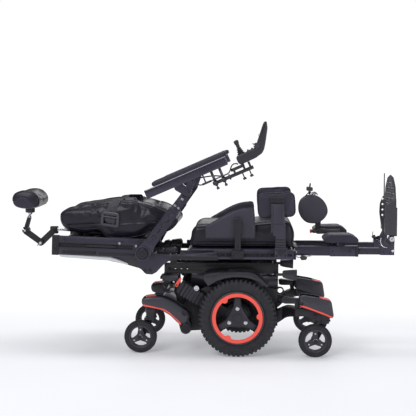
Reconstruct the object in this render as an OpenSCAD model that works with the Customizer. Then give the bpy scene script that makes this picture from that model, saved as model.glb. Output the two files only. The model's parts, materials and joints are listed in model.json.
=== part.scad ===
// Six-wheeled power wheelchair with a standing seat, lying flat.
// Measured from the floor under the drive axle: X to the feet, Y to the sitter's left, Z up.
// Right-hand pieces are drawn at negative Y and mirrored for the left.

/* [Drive wheels] */
// Radius of each drive tyre
drive_radius = 178; // [172:1:182]
// Width of each drive tyre
drive_width = 74; // [66:1:76]
// Distance between the middles of the drive tyres
drive_track = 536; // [534:1:548]
// Radius of the drive rim's seat for the tyre
rim_radius = 122; // [116:1:124]

/* [Casters] */
// Radius of each caster tyre
caster_radius = 76; // [72:1:77]
// Width of each caster tyre
caster_width = 46; // [38:1:48]
// Front caster axle, forward of the drive axle
front_caster_x = 353; // [348:1:358]
// Front caster, sideways from the middle
front_caster_y = 275; // [272:1:278]
// Rear caster axle, behind the drive axle
rear_caster_x = -450; // [-455:1:-445]
// Rear caster, sideways from the middle
rear_caster_y = 215; // [213:1:217]

/* [Seat] */
// Half of the seat cushion's width
seat_half = 204; // [190:1:206]
// Height of the seat cushion's top
seat_top = 600; // [590:1:604]
// Inner face of each seat rail, from the middle
rail_inner = 211; // [210:1:212]

/* [Back] */
// Recline pivot, forward of the drive axle
recline_x = -432; // [-434:1:-430]
// Recline pivot, above the floor
recline_z = 470; // [468:1:472]
// Rise of the back towards the head, in degrees
back_rise = 2; // [0:0.5:3]
// Half of the back cushion's width
back_half = 197; // [180:1:198]

/* [Armrests] */
// Slope of the armrests, in degrees
arm_slope = 23.3; // [22:0.1:24]
// Length of each armrest beam
arm_length = 395; // [380:1:400]
// Middle of each armrest, from the middle of the chair
arm_y = 275; // [274:1:280]

/* [Legrests] */
// Knee pivot, forward of the drive axle
knee_x = 268; // [266:1:270]
// Knee pivot, above the floor
knee_z = 468; // [466:1:470]
// Middle of each leg tube, from the middle of the chair
leg_y = 120; // [116:1:124]
// How much shorter the left leg is set than the right
left_leg_short = 30; // [0:1:34]

/* [Hidden] */
$fn = 64;
// Farthest reach behind and ahead of the drive axle
rear_reach = 1078;
front_reach = 730;
origin_x = (rear_reach - front_reach) / 2;
// Clearances: a shaft in its bore, a tube in its sleeve, and two pieces fixed together
running = 0.05;
sliding = 0.6;
seam = 0.2;

dark = "#34323d";
black = "#1d1c22";
coral = "#ff6a5a";
steel = "#c9ccd2";
panel_grey = "#58556a";

// ---------- Helpers ----------

// Shift from the drive axle to the middle of the whole chair
module placed() translate([origin_x, 0, 0]) children();

// The right-hand piece, or its mirror image
module handed(left) {
  if (left) mirror([0, 1, 0]) children();
  else children();
}

module both() {
  children();
  mirror([0, 1, 0]) children();
}

// Box between two values on each axis
module block(x, y, z)
  translate([x[0], y[0], z[0]]) cube([x[1] - x[0], y[1] - y[0], z[1] - z[0]]);

// Round bar along Y, along X and along Z
module bar_y(x, z, r, y) translate([x, y[0], z]) rotate([-90, 0, 0]) cylinder(r = r, h = y[1] - y[0]);
module bar_x(y, z, r, x) translate([x[0], y, z]) rotate([0, 90, 0]) cylinder(r = r, h = x[1] - x[0]);
module bar_z(x, y, r, z) translate([x, y, z[0]]) cylinder(r = r, h = z[1] - z[0]);

// Plate of an outline drawn in X and Z, between two values of Y
module side_plate(y, outline) translate([0, y[1], 0]) rotate([90, 0,
    0]) linear_extrude(y[1] - y[0]) polygon(outline);

// Plate of the 2-D children drawn in X and Z
module side_slab(y) translate([0, y[1], 0]) rotate([90, 0, 0]) linear_extrude(y[1] - y[0]) children();

// Closed curve that passes smoothly through the given points
function smooth(p, n = 5) = [
  for (i = [0 : len(p) - 1], k = [0 : n - 1])
    let (
      a = p[(i + len(p) - 1) % len(p)], b = p[i],
      c = p[(i + 1) % len(p)], d = p[(i + 2) % len(p)], t = k / n
    )
    (2 * b + (c - a) * t + (2 * a - 5 * b + 4 * c - d) * t * t + (3 * b - a - 3 * c + d) * t * t * t) / 2
];

// Flat bar with round ends between two points of the XZ plane
module link_2d(a, b, ra, rb) {
  length = norm(b - a);
  angle = atan2(b[1] - a[1], b[0] - a[0]);
  taper = asin((ra - rb) / length);
  translate(a) circle(ra);
  translate(b) circle(rb);
  translate(a) rotate(angle) polygon([
    ra * [sin(taper), -cos(taper)], [length, 0] + rb * [sin(taper), -cos(taper)],
    [length, 0] + rb * [sin(taper), cos(taper)], ra * [sin(taper), cos(taper)]
  ]);
}

// Rectangle with round corners, centred
module round_rect(w, h, r) {
  square([w - 2 * r, h], center = true);
  square([w, h - 2 * r], center = true);
  for (sx = [-1, 1], sy = [-1, 1]) translate([sx * (w / 2 - r), sy * (h / 2 - r)]) circle(r);
}

// ---------- Power base ----------

chassis_x = [-215, 185];
chassis_half = 154;
chassis_bottom = 118;
wall = 5;
// Suspension pivots in X and Z
front_pivot = [160, 165];
rear_pivot = [-239, 117];
rear_upper = [-242, 192];
pivot_pin_r = 14;

module chassis_side()
  side_plate([-chassis_half, -chassis_half + wall], concat(
    [[chassis_x[1], chassis_bottom], [chassis_x[1], 290], [120, 300], [-150, 300], [-222, 262], [-262,
        205]],
    [for (a = [180 : 15 : 285]) rear_pivot + 27 * [cos(a), sin(a)]]
  ));

// Pin that a suspension arm swings on, with its retaining cap
module pivot_pin(p, y_end) {
  bar_y(p[0], p[1], pivot_pin_r, [y_end, -chassis_half + wall]);
  bar_y(p[0], p[1], pivot_pin_r + 7, [y_end - 4, y_end]);
}

module chassis_frame() placed() color(black) {
  both() {
    chassis_side();
    pivot_pin(front_pivot, -217);
    pivot_pin(rear_pivot, -234);
    // Rear bracket that holds the controller
    block([-300, -218], [-128, -90], [190, 256]);
    block([-300, -288], [-128, -90], [256, 330.8]);
  }
  block(chassis_x, [-chassis_half + wall, chassis_half - wall], [chassis_bottom, chassis_bottom + wall]);
  block([chassis_x[1] - wall, chassis_x[1]], [-chassis_half + wall, chassis_half - wall],
      [chassis_bottom + wall, 288]);
  block([-220, -215], [-chassis_half + wall, chassis_half - wall], [chassis_bottom, 262]);
}

column_x = -10;

module batteries() placed() color("#3b3b40")
  for (x = [[-205, -76], [57, 176]]) {
    block(x, [-142, 142], [124, 282]);
    for (y = [-90, 90]) bar_z((x[0] + x[1]) / 2, y, 9, [282, 292]);
  }

// Motor and gearbox beside the axle; the motor leans up towards the rear
motor_tilt = 30.5;
motor_axis = [-20, 160];
motor_length = 285;

module drive_motors() placed() both() color(dark) difference() {
  union() {
    bar_y(0, drive_radius, 60, [-223, -157]);
    translate([motor_axis[0], -187, motor_axis[1]]) rotate([0, motor_tilt, 0]) {
      block([-motor_length, -30], [-30, 30], [-29, 29]);
      for (k = [0 : 5]) block([-motor_length + 18 + 16 * k, -motor_length + 24 + 16 * k], [-33, 33],
          [-32, 32]);
    }
    lever_boss();
  }
}

lever_pivot = [-283, 314];

module lever_boss() {
  side_slab([-196, -184]) link_2d(lever_pivot, lever_pivot + [26, -16], 9, 12);
  bar_y(lever_pivot[0], lever_pivot[1], 3, [-205, -184]);
}

module freewheel_lever(left) placed() handed(left) color(coral) difference() {
  side_slab([-203, -196.6]) link_2d(lever_pivot, lever_pivot + [17, 29], 8, 5.5);
  bar_y(lever_pivot[0], lever_pivot[1], 3 + running, [-210, -190]);
}

// Fender over a drive wheel: a flat top that runs down in front
module fender() side_plate([-298, -168.5], concat(
  [[-152, 352], [-152, 376], [-110, 384], [-20, 390], [62, 388], [100, 366], [139, 326], [134, 321]],
  [for (a = [48 : 12 : 132]) [0, drive_radius] + (drive_radius + 10 + 10 * abs(a - 90) / 42) * [cos(a),
      sin(a)]]
));

module base_shrouds() placed() color(black) {
  both() fender();
  difference() {
    block([-216, 187], [-152, 152], [302, 358]);
    block([column_x - 57, column_x + 57], [-57, 57], [290, 370]);
    block([-208, 179], [-144, 144], [290, 350]);
  }
}

module control_module() placed() color(dark) {
  block([-351, -277], [-190, -60], [331, 357]);
  for (y = [-170, -130, -90]) bar_x(y, 344, 7, [-362, -351.2]);
}

// Lamp on each front corner, on a stalk from the shroud
module light_pod() {
  side_plate([-222, -178], [[206, 356], [206, 378], [214, 383], [272, 387], [271, 342], [222, 350]]);
  side_slab([-204, -196]) link_2d([180, 366], [212, 366], 6, 6);
  block([170, 184], [-205, -153], [346, 357.5]);
}

module light_pods() placed() color(black) both() light_pod();

rear_loop = [-333, 303];
rear_loop_r = 13.5;
front_eye = [205, 240];

// Transport tie-downs: an upright eye at each rear corner and a smaller one at each front corner
module tie_down_loops() placed() color(black) both() {
  difference() {
    side_slab([-156, -148]) link_2d(rear_loop - [0, 9], rear_loop + [0, 6], 19, 20);
    bar_y(rear_loop[0], rear_loop[1], rear_loop_r, [-160, -144]);
  }
  block([-314, -300.2], [-156, -148], [292, 314]);
  difference() {
    side_slab([-126, -118]) union() {
      translate(front_eye) circle(19);
      translate([chassis_x[1] + seam, front_eye[1] - 19]) square([front_eye[0] - chassis_x[1], 38]);
    }
    bar_y(front_eye[0], front_eye[1], 12, [-130, -114]);
  }
}

// Square telescopic tube of the seat lift
module column(half, thick, z) difference() {
  block([column_x - half, column_x + half], [-half, half], z);
  block([column_x - half + thick, column_x + half - thick], [-half + thick, half - thick], [z[0] - 1,
      z[1] + 1]);
}

module lift_outer_column() placed() color(steel) column(55, 5, [124, 360]);

tilt_pivot = [-300, 424];
tilt_pin_r = 8;

// Inner column with the frame that carries the seat's tilt pivot
module lift_carriage() placed() color(black) {
  column(50 - sliding, 6, [128, 366]);
  both() {
    difference() {
      block([-343, 188], [-165, -153], [364, 413]);
      for (x = [-320 : 28 : -236]) bar_y(x, 388, 5, [-170, -150]);
    }
    block([-316, -284], [-165, -153], [413, 424]);
    bar_y(tilt_pivot[0], tilt_pivot[1], 16, [-165, -153]);
    bar_y(tilt_pivot[0], tilt_pivot[1], tilt_pin_r, [-153, -128]);
  }
  for (x = [[-343, -310], [column_x - 60, column_x + 60], [160, 188]]) block(x, [-153, 153], [366, 372]);
  block([-343, 188], [-60, -44], [372, 384]);
  block([-343, 188], [44, 60], [372, 384]);
}

// ---------- Drive wheels ----------

// Drive wheel about its own axis, outer face towards positive Z
module drive_wheel_shape() {
  half = drive_width / 2;
  color(black) rotate_extrude($fn = 96) polygon([
    [rim_radius, -half + 9], [rim_radius + 12, -half + 2], [drive_radius - 26, -half],
    [drive_radius - 7, -half + 7], [drive_radius, -half + 17], [drive_radius, half - 17],
    [drive_radius - 7, half - 7], [drive_radius - 26, half], [rim_radius + 12, half - 2],
    [rim_radius, half - 9]
  ]);
  color(dark) {
    difference() {
      translate([0, 0, -half + 6]) cylinder(r = rim_radius - seam, h = drive_width - 12);
      translate([0, 0, -half]) cylinder(r = rim_radius - 7, h = drive_width);
    }
    linear_extrude(20) difference() {
      union() {
        circle(38);
        for (a = [90, 210, 330]) rotate(a) polygon([[0, -36], [52, -19], [rim_radius - 6, -24],
            [rim_radius - 6, 24], [52, 19], [0, 36]]);
      }
    }
    translate([0, 0, -half - 5]) cylinder(r = 42, h = half + 5);
    for (a = [90, 210, 330]) rotate(a) translate([43, 0, 20]) cylinder(r = 8, h = 4);
  }
  color(coral) translate([0, 0, half - 5.8]) rotate(65) linear_extrude(5) difference() {
    circle(rim_radius - 7.2);
    circle(98);
  }
  color(coral) for (a = [5, 125, 245]) rotate(a) translate([0, 0, half - 5.8])
    linear_extrude(5) polygon([[98.2, -20], [89, -9], [89, 9], [98.2, 20]]);
}

module drive_wheel(left) placed() handed(left)
  translate([0, -drive_track / 2, drive_radius]) rotate([90, 0, 0]) drive_wheel_shape();

// ---------- Suspension arms and casters ----------

front_swivel_x = front_caster_x + 42;
rear_swivel_x = rear_caster_x + 50;
stem_r = 12;
barrel_z = [165, 214];
axle_r = 6;

module swivel_barrel(x, y) bar_z(x, y, 24.5, barrel_z);
module swivel_bore(x, y) bar_z(x, y, stem_r + running, [barrel_z[0] - 1, barrel_z[1] - 6]);

// Arched front arm that steps outwards from the chassis to the caster
module front_arm(left) placed() handed(left) color(black) difference() {
  union() {
    intersection() {
      side_plate([-296, -160], smooth([
        [134, 168], [158, 190], [190, 204], [225, 218], [262, 224], [310, 222], [352, 218],
        [388, 210], [392, 172], [352, 172], [312, 188], [262, 187], [226, 176], [198, 152], [164, 139]
      ]));
      linear_extrude(300) polygon([
        [120, -213], [205, -213], [262, -294], [420, -294], [420, -256], [292, -256], [232, -162],
            [120, -162]
      ]);
    }
    swivel_barrel(front_swivel_x, -front_caster_y);
    // Transport bracket behind the cover
    side_plate([-290, -258], [[203, 250], [201, 272], [212, 276], [281, 268], [281, 246], [216, 246]]);
    side_plate([-284, -264], [[262, 215], [280, 215], [280, 247], [258, 247]]);
  }
  bar_y(front_pivot[0], front_pivot[1], pivot_pin_r + running, [-220, -150]);
  swivel_bore(front_swivel_x, -front_caster_y);
}

// Front cover, over the arm from the bracket to the caster
module front_arm_cover(left) placed() handed(left) {
  outline = [[283, 238], [283, 283], [294, 287], [356, 277], [421, 259], [431, 192], [424, 186], [360,
      210]];
  color(dark) difference() {
    side_plate([-312, -238], outline);
    side_plate([-305, -245], [[288, 236], [288, 278], [296, 281], [354, 271], [416, 254], [425, 190],
        [420, 176], [360, 203], [288, 230]]);
  }
  color(coral) side_plate([-316, -312.2], [[283, 238], [360, 210], [424, 186], [431, 190], [430, 196],
      [362, 219], [283, 246]]);
}

// Curved rear arm on its pivot, with the caster barrel at its end
module rear_arm(left) placed() handed(left) color(black) difference() {
  union() {
    side_plate([-230, -180], smooth([
      [-412, 214], [-412, 250], [-350, 250], [-305, 233], [-268, 208], [-238, 196], [-226, 160],
      [-214, 126], [-222, 100], [-245, 92], [-263, 108], [-276, 150], [-308, 186], [-350, 208]
    ]));
    bar_y(rear_pivot[0], rear_pivot[1], 26, [-230, -180]);
    swivel_barrel(rear_swivel_x, -rear_caster_y);
  }
  bar_y(rear_pivot[0], rear_pivot[1], pivot_pin_r + running, [-236, -170]);
  swivel_bore(rear_swivel_x, -rear_caster_y);
}

rear_cover_top = [[-441, 238], [-436, 258], [-402, 266], [-350, 263], [-318, 251], [-286, 235], [-250,
    209], [-236, 205]];
rear_cover_bottom = [[-222, 190], [-228, 160], [-258, 140], [-272, 146], [-308, 181], [-350, 205],
    [-391, 213], [-434, 221]];

module rear_arm_cover(left) placed() handed(left) {
  color(dark) difference() {
    side_plate([-246, -170], concat(rear_cover_top, rear_cover_bottom));
    side_plate([-239, -177], [
      [-430, 210], [-430, 252], [-402, 259], [-350, 256], [-318, 244], [-286, 227], [-254, 204],
      [-200, 204], [-200, 90], [-266, 90], [-272, 146], [-308, 176], [-350, 200], [-391, 207]
    ]);
  }
  color(coral) side_plate([-250, -246.2], [
    [-434, 221], [-391, 213], [-350, 205], [-308, 181], [-272, 146], [-266, 148], [-270, 154],
    [-306, 190], [-349, 214], [-391, 222], [-437, 231]
  ]);
}

// Fork with one leg on the inner side of its wheel
module fork(swivel_x, axle_x, y) {
  leg_y0 = y + caster_width / 2 + 4;
  crown = 2 * caster_radius + 3.5;
  bar_z(swivel_x, y, stem_r, [crown, barrel_z[1] - 7]);
  bar_z(swivel_x, y, 21, [crown, barrel_z[0] - 1]);
  block([axle_x + 18, swivel_x + 16], [y - 14, leg_y0 + 9], [crown, crown + 7]);
  side_slab([leg_y0, leg_y0 + 9]) link_2d([axle_x, caster_radius], [axle_x + 36, crown - 9], 17, 18);
  side_slab([leg_y0, leg_y0 + 9]) translate([axle_x + 18, crown - 14]) square([36, 20]);
  bar_y(axle_x, caster_radius, axle_r, [y - caster_width / 2 - 3, leg_y0]);
  bar_y(axle_x, caster_radius, 10, [y - caster_width / 2 - 7, y - caster_width / 2 - 3]);
}

module caster_wheel(x, y) translate([x, y, caster_radius]) rotate([90, 0, 0]) {
  half = caster_width / 2;
  color(black) rotate_extrude() polygon([
    [52, -half + 4], [60, -half], [caster_radius - 6, -half + 3], [caster_radius, -half + 14],
    [caster_radius, half - 14], [caster_radius - 6, half - 3], [60, half], [52, half - 4]
  ]);
  color(dark) difference() {
    union() {
      difference() {
        translate([0, 0, -half + 4]) cylinder(r = 52 - seam, h = caster_width - 8);
        translate([0, 0, -half]) cylinder(r = 46, h = caster_width);
      }
      for (a = [30, 150, 270]) rotate(a) translate([0, -8, -9]) cube([48, 16, 18]);
      translate([0, 0, -half]) cylinder(r = 17, h = caster_width);
    }
    translate([0, 0, -half - 1]) cylinder(r = axle_r + running, h = caster_width + 2);
  }
}

module front_fork(left) placed() handed(left) color(black) fork(front_swivel_x, front_caster_x,
    -front_caster_y);
module rear_fork(left) placed() handed(left) color(black) fork(rear_swivel_x, rear_caster_x,
    -rear_caster_y);
module front_caster(left) placed() handed(left) caster_wheel(front_caster_x, -front_caster_y);
module rear_caster(left) placed() handed(left) caster_wheel(rear_caster_x, -rear_caster_y);

// ---------- Seat ----------

rail_outer = rail_inner + 24;
seat_rail_x = [-110, 262];
boss_pin_r = 16;
plate_y = [-247, -238];
thigh_post = [196, -258];
knee_pin_r = 8;

// Slotted rail with its end caps
module seat_rail() difference() {
  block(seat_rail_x, [-rail_outer, -rail_inner], [440, 480]);
  block([seat_rail_x[0] + 14, seat_rail_x[1] - 14], [-rail_outer - 1, -rail_outer + 7], [454, 466]);
}

// Plate at the rear that dips under the recline pivot
module seat_plate() side_plate(plate_y, concat(
  [[seat_rail_x[0] + 20, 436], [-290, 437], [-318, 430], [-340, 414], [-372, 380], [-392, 369], [-420,
      371], [-448, 398], [-464, 440]],
  [for (a = [205 : -25 : 30]) [recline_x, recline_z] + 34 * [cos(a), sin(a)]],
  [[-390, 464], [-300, 461], [seat_rail_x[0] + 20, 460]]
));

// Clamp on the rail for a thigh support's post
module thigh_clamp() difference() {
  block([168, 225], [-274, -rail_outer - seam], [452, 499]);
  bar_z(thigh_post[0], thigh_post[1], 8 + running, [462, 500]);
}

module seat_frame() placed() {
  color(dark) both() {
    seat_rail();
    block([-300, seat_rail_x[0]], [-rail_outer, -rail_inner], [437, 460]);
    block([-264, seat_rail_x[0]], [-230, -216], [460, 479]);
    seat_plate();
    block([-296, seat_rail_x[0] + 18], [plate_y[1], -rail_outer], [438, 459]);
    // Pin of the recline pivot, through the back rail and out to the armrest
    bar_y(recline_x, recline_z, boss_pin_r, [-280, -206]);
    bar_y(recline_x, recline_z, 23, [-285, -280]);
    // Tilt lug around the carriage's pin
    difference() {
      union() {
        block([-312, -288], [-150, -130], [424, 450]);
        bar_y(tilt_pivot[0], tilt_pivot[1], 14, [-150, -130]);
        block([-312, -288], [-rail_inner, -130], [440, 456]);
      }
      bar_y(tilt_pivot[0], tilt_pivot[1], tilt_pin_r + running, [-152, -120]);
    }
    // Ears of the knee pivot
    side_slab([-158, -148]) link_2d([240, 460], [knee_x, knee_z], 15, 17);
    bar_y(knee_x, knee_z, knee_pin_r, [-148, -126]);
    block([236, 260], [-rail_inner, -158], [446, 474]);
    thigh_clamp();
  }
  color(black) {
    for (x = [-92, 60, 222]) bar_y(x, 456, 12, [-rail_inner, rail_inner]);
    bar_y(-240, 448, 10, [-rail_inner, rail_inner]);
    // Seat pan on the rails
    difference() {
      block([-214, 250], [-rail_outer, rail_outer], [480.2, 485.4]);
      for (x = [-190, -20, 150]) block([x, x + 70], [-150, 150], [470, 490]);
    }
  }
}

module seat_cushion() placed() color(black) side_plate([-seat_half, seat_half], smooth([
  [-214, 492], [-190, 487.4], [20, 487], [240, 487], [264, 500], [269, 550], [262, 592], [238, 616],
  [190, 619], [60, seat_top + 8], [-80, seat_top], [-190, seat_top - 2], [-219, 580], [-226, 540]
], 4));

// Padded side panel, its post and its clamp on the seat rail
module side_panels() placed() both() {
  color(panel_grey) side_plate([-226, -216], smooth([
    [-150, 538], [-152, 562], [-150, 590], [-112, 616], [-71, 640], [-30, 661], [5, 673],
    [42, 678], [72, 676], [79, 640], [83, 585], [81, 542], [70, 532], [-30, 530], [-136, 531]
  ], 4));
  color(black) {
    block([-14, 14], [-250, -239], [483, 631]);
    block([-12, 12], [-239, -226.2], [560, 622]);
    block([-29, 28], [-254, -rail_outer - 0.4], [444, 483]);
  }
}

// Post, curved plate and head of a thigh support, turning on a pin in the clamp
module thigh_bracket(left) placed() handed(left) {
  color(black) {
    bar_z(thigh_post[0], thigh_post[1], 8, [464, 500]);
    block([171, 217], [-270, -246], [499.6, 552]);
    block([152, 208], [-258, -246.6], [650, 722]);
  }
  color(panel_grey) {
    block([161, 216], [-272, -256], [552, 604]);
    intersection() {
      side_plate([-268, -240], [[150, 566], [216, 566], [212, 640], [209, 696], [151, 696]]);
      translate([0, -262 + 90, 0]) difference() {
        bar_z(181, 0, 98, [566, 700]);
        bar_z(181, 0, 91, [560, 704]);
      }
    }
  }
}

module thigh_pad(left) placed() handed(left) color(black)
  side_slab([-246, -210]) translate([175.5, 689]) rotate(3) round_rect(180, 122, 26);

// ---------- Back ----------

// Everything on the back rises a little towards the head
module on_back() translate([recline_x, 0, recline_z]) rotate([0, back_rise, 0]) translate([-recline_x,
    0, -recline_z]) children();

back_rail_x = [-856, -405];
back_rail_y = [-233, -209];
// Crossbars between the rails; the shell has a slot around the upper one for its travel
back_bar_x = [-730, -500];
back_bar_z = [478, 492];
shell_travel = 158;

module back_rail() difference() {
  union() {
    block(back_rail_x, back_rail_y, [443, 530]);
    bar_y(recline_x, recline_z, 36, back_rail_y);
  }
  block([back_rail_x[0] + 30, recline_x - 50], [back_rail_y[0] - 1, back_rail_y[0] + 7], [482, 497]);
  bar_y(recline_x, recline_z, boss_pin_r + running, [-240, -200]);
}

module back_frame() placed() on_back() color(dark) {
  both() back_rail();
  for (x = back_bar_x) block([x, x + 30], [back_rail_y[1], -back_rail_y[1]], back_bar_z);
}

headrest_z = 536;
bar_r = 8;

// Moulded pan that slides between the back rails, with the guide of the headrest bar behind it
module back_shell() placed() on_back() color(black) {
  difference() {
    side_plate([-206, 206], [
      [-830, 505], [-830, 440], [-812, 428], [-600, 422], [-505, 404], [-456, 392], [-420, 376], [-402,
          374],
      [-396, 384], [-402, 420], [-402, 442], [-510, 470], [-510, 505]
    ]);
    side_plate([-196, 196], [[-820, 520], [-820, 446], [-600, 432], [-520, 418], [-520, 520]]);
    block([back_bar_x[0] - 10, back_bar_x[0] + 40 + shell_travel], [-210, 210], [back_bar_z[0] - 4,
        back_bar_z[1] + 4]);
  }
  difference() {
    block([-800, -752], [-24, 24], [506, headrest_z + 15]);
    bar_x(0, headrest_z, bar_r + running, [-810, -740]);
  }
  block([-800, -752], [-24, 24], [440, 506]);
}

module back_cushion() placed() on_back() color(black) side_plate([-back_half, back_half], concat(smooth([
  [-652, 552], [-740, 556], [-806, 562], [-836, 590], [-838, 622], [-815, 646], [-760, 662],
  [-690, 680], [-593, 703], [-500, 716], [-404, 706], [-330, 672], [-284, 640], [-266, 610],
  [-280, 582], [-325, 562], [-400, 545], [-432, 532], [-470, 514], [-560, 510], [-618, 516]
], 4)));

// Headrest: bar with its fixed link, swinging link with the stem, and the pad on its ball
head_joint = [-957, 487];
head_ball = [-1010, 631];

module headrest_bar() placed() color(steel) {
  on_back() bar_x(0, headrest_z, bar_r, [-902, -712]);
  color(black) {
    block([-910, -876], [-17, 17], [532, 566]);
    difference() {
      side_slab([-13, -5]) link_2d([-893, 548], head_joint, 14, 15);
      bar_y(head_joint[0], head_joint[1], 5 + running, [-20, 20]);
    }
    side_slab([5, 13]) difference() {
      link_2d([-893, 548], head_joint, 14, 15);
      translate(head_joint) circle(5 + running);
    }
    bar_y(-893, 549, 5, [-30, 30]);
  }
}

module headrest_link() placed() {
  color(black) {
    side_slab([-4.6, 4.6]) link_2d(head_joint, [-1030, 540], 14, 15);
    bar_y(head_joint[0], head_joint[1], 5, [-19, 19]);
    bar_y(-1030, 548, 17, [-17, 17]);
    side_slab([-9, 9]) link_2d([-1030, 556], [-1015, 606], 10, 9);
  }
  color(steel) {
    translate([head_ball[0], 0, head_ball[1]]) sphere(r = 11);
    bar_y(head_ball[0], head_ball[1], 3.5, [-13.5, 13.5]);
    side_slab([-4, 4]) link_2d([-1015, 606], head_ball, 6, 6);
    bar_y(-1030, 548, 5, [-34, 34]);
  }
}

module headrest_pad() placed() color(black) {
  translate([head_ball[0], 0, head_ball[1]]) difference() {
    translate([0, 0, 2]) cylinder(r = 22, h = 23);
    sphere(r = 11.4);
    translate([0, 0, -8]) cylinder(r = 15, h = 12);
  }
  side_plate([-125, 125], smooth([
    [-1052, 664], [-1075, 680], [-1076, 706], [-1056, 732], [-1010, 748], [-962, 742],
    [-928, 716], [-920, 690], [-938, 664], [-985, 658]
  ], 4));
}

// ---------- Armrests and control ----------

// Armrest frame: along the beam, up from its lower rear corner
arm_origin = [-407, 719];
module on_arm() translate([arm_origin[0], 0, arm_origin[1]]) rotate([0, -arm_slope, 0]) children();
function arm_point(s, n) = arm_origin + [s * cos(arm_slope) - n * sin(arm_slope),
    s * sin(arm_slope) + n * cos(arm_slope)];

arm_pivot = arm_point(175, -44);
arm_pin_r = 6;
post_y = [-277, -253];

module armrest_post(left) placed() handed(left) color(dark) difference() {
  start = [recline_x, recline_z];
  axis = (arm_pivot - start) / norm(arm_pivot - start);
  union() {
    side_slab(post_y) link_2d(start, start + 60 * axis, 35, 26);
    side_slab(post_y) link_2d(start + 40 * axis, start + 236 * axis, 26, 25);
    side_slab([post_y[0] + 4, post_y[1] - 4]) link_2d(start + 200 * axis, arm_pivot, 22, 19);
    bar_y((start + 292 * axis)[0], (start + 292 * axis)[1], 8, [post_y[0] - 3, post_y[1] + 3]);
  }
  bar_y(start[0], start[1], boss_pin_r + running, [-290, -240]);
  bar_y(arm_pivot[0], arm_pivot[1], arm_pin_r + running, [-290, -240]);
  // Height slots
  for (d = [80, 100, 150, 178, 206]) bar_y((start + d * axis)[0], (start + d * axis)[1], 4,
      [post_y[0] - 1, post_y[0] + 5]);
}

module armrest_beam(left) placed() handed(left) {
  color(dark) on_arm() difference() {
    block([0, arm_length], [-arm_y - 23, -arm_y + 23], [0, 40]);
    block([6, arm_length - 6], [-arm_y - 24, -arm_y - 19], [29, 33]);
    block([-1, 1.5], [-arm_y - 15, -arm_y + 15], [8, 32]);
  }
  color(black) {
    for (y = [[-284.5, -278.5], [-251.5, -245.5]]) side_slab(y) difference() {
      union() {
        link_2d(arm_point(150, -6), arm_pivot, 20, 17);
        link_2d(arm_point(215, -6), arm_pivot, 14, 17);
      }
      translate(arm_origin) rotate(arm_slope) translate([0, 0.2]) square([arm_length, 60]);
    }
    bar_y(arm_pivot[0], arm_pivot[1], arm_pin_r, [-290, -240]);
    if (!left) {
      mount_clamps();
      beam_leads();
    }
  }
}

module armrest_pad(left) placed() handed(left) color(black) on_arm()
  translate([0, -arm_y, 40.3]) linear_extrude(22) hull() {
    translate([52, 0]) square([28, 60], center = true);
    translate([380, 0]) circle(30, $fn = 32);
  }

mount_n = -55;
mount_s = [298, 496];
stick_s = 468;
gimbal_n = 12;
rocker_s = 512;
rocker_n = 17;

// Corners of a round lead's rings: one ring at each of its points
lead_sides = 10;
function lead_ring(p, i, r) =
  let (
    run = p[min(i + 1, len(p) - 1)] - p[max(i - 1, 0)],
    across = cross([0, 1, 0], run) / norm(cross([0, 1, 0], run)),
    out = cross(run / norm(run), across)
  )
  [
    for (k = [0 : lead_sides - 1])
      let (turn = 360 * k / lead_sides)
      p[i] + r * (cos(turn) * across + sin(turn) * out)
  ];

// Round lead through a list of points
module lead(p, r) polyhedron(
  points = [for (i = [0 : len(p) - 1]) each lead_ring(p, i, r)],
  faces = concat(
    [[for (k = [0 : lead_sides - 1]) k]],
    [for (i = [0 : len(p) - 2], k = [0 : lead_sides - 1]) let (a = i * lead_sides,
        n = (k + 1) % lead_sides)
      [a + k, a + lead_sides + k, a + lead_sides + n]],
    [for (i = [0 : len(p) - 2], k = [0 : lead_sides - 1]) let (a = i * lead_sides,
        n = (k + 1) % lead_sides)
      [a + k, a + lead_sides + n, a + n]],
    [[for (k = [lead_sides - 1 : -1 : 0]) (len(p) - 1) * lead_sides + k]]
  )
);

// Lead from behind the stick, round in a loop and back along the tube into its sleeve
stick_lead = [
  [437, -arm_y, -17], [430, -arm_y - 2, -11], [420, -arm_y - 4, -8], [409, -arm_y - 7, -11], [401,
      -arm_y - 10, -19],
  [394, -arm_y - 13, -28], [386, -arm_y - 15, -35], [376, -arm_y - 15, mount_n + 17], [274,
      -arm_y - 15, mount_n + 17]
];

// Tube under the armrest that carries the control, its clamps and its screws
module joystick_mount() placed() color(black) on_arm() {
  difference() {
    bar_x(-arm_y, mount_n, 8, mount_s);
    bar_x(-arm_y, mount_n, 5.5, [mount_s[0] - 1, mount_s[0] + 60]);
  }
  bar_x(-arm_y, mount_n, 13, [377, 384]);
  for (s = [456, 484]) block([s - 5, s + 5], [-arm_y - 10, -arm_y + 10], [mount_n + 4, -24.4]);
  bar_x(-arm_y, mount_n + 24, 7, [396, 462]);
  block([404, 414], [-arm_y - 6, -arm_y + 6], [mount_n + 4, mount_n + 22]);
  lead(stick_lead, 3);
  for (s = [440, 474]) bar_z(s, -arm_y, 3, [mount_n - 30, mount_n - 6]);
  for (s = [440, 474]) bar_z(s, -arm_y, 8, [mount_n - 38, mount_n - 28]);
}

// Clamps under the right beam that hold the control's tube
module mount_clamps() on_arm() difference() {
  for (s = [312, 352]) {
    block([s - 6, s + 6], [-arm_y - 9, -arm_y + 9], [mount_n + 4, -0.2]);
    bar_x(-arm_y, mount_n, 13, [s - 8, s + 8]);
    bar_z(s, -arm_y, 3.5, [mount_n - 22, mount_n - 11]);
    bar_z(s, -arm_y, 6.5, [mount_n - 31, mount_n - 21]);
  }
  bar_x(-arm_y, mount_n, 8 + running, [290, 380]);
}

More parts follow.
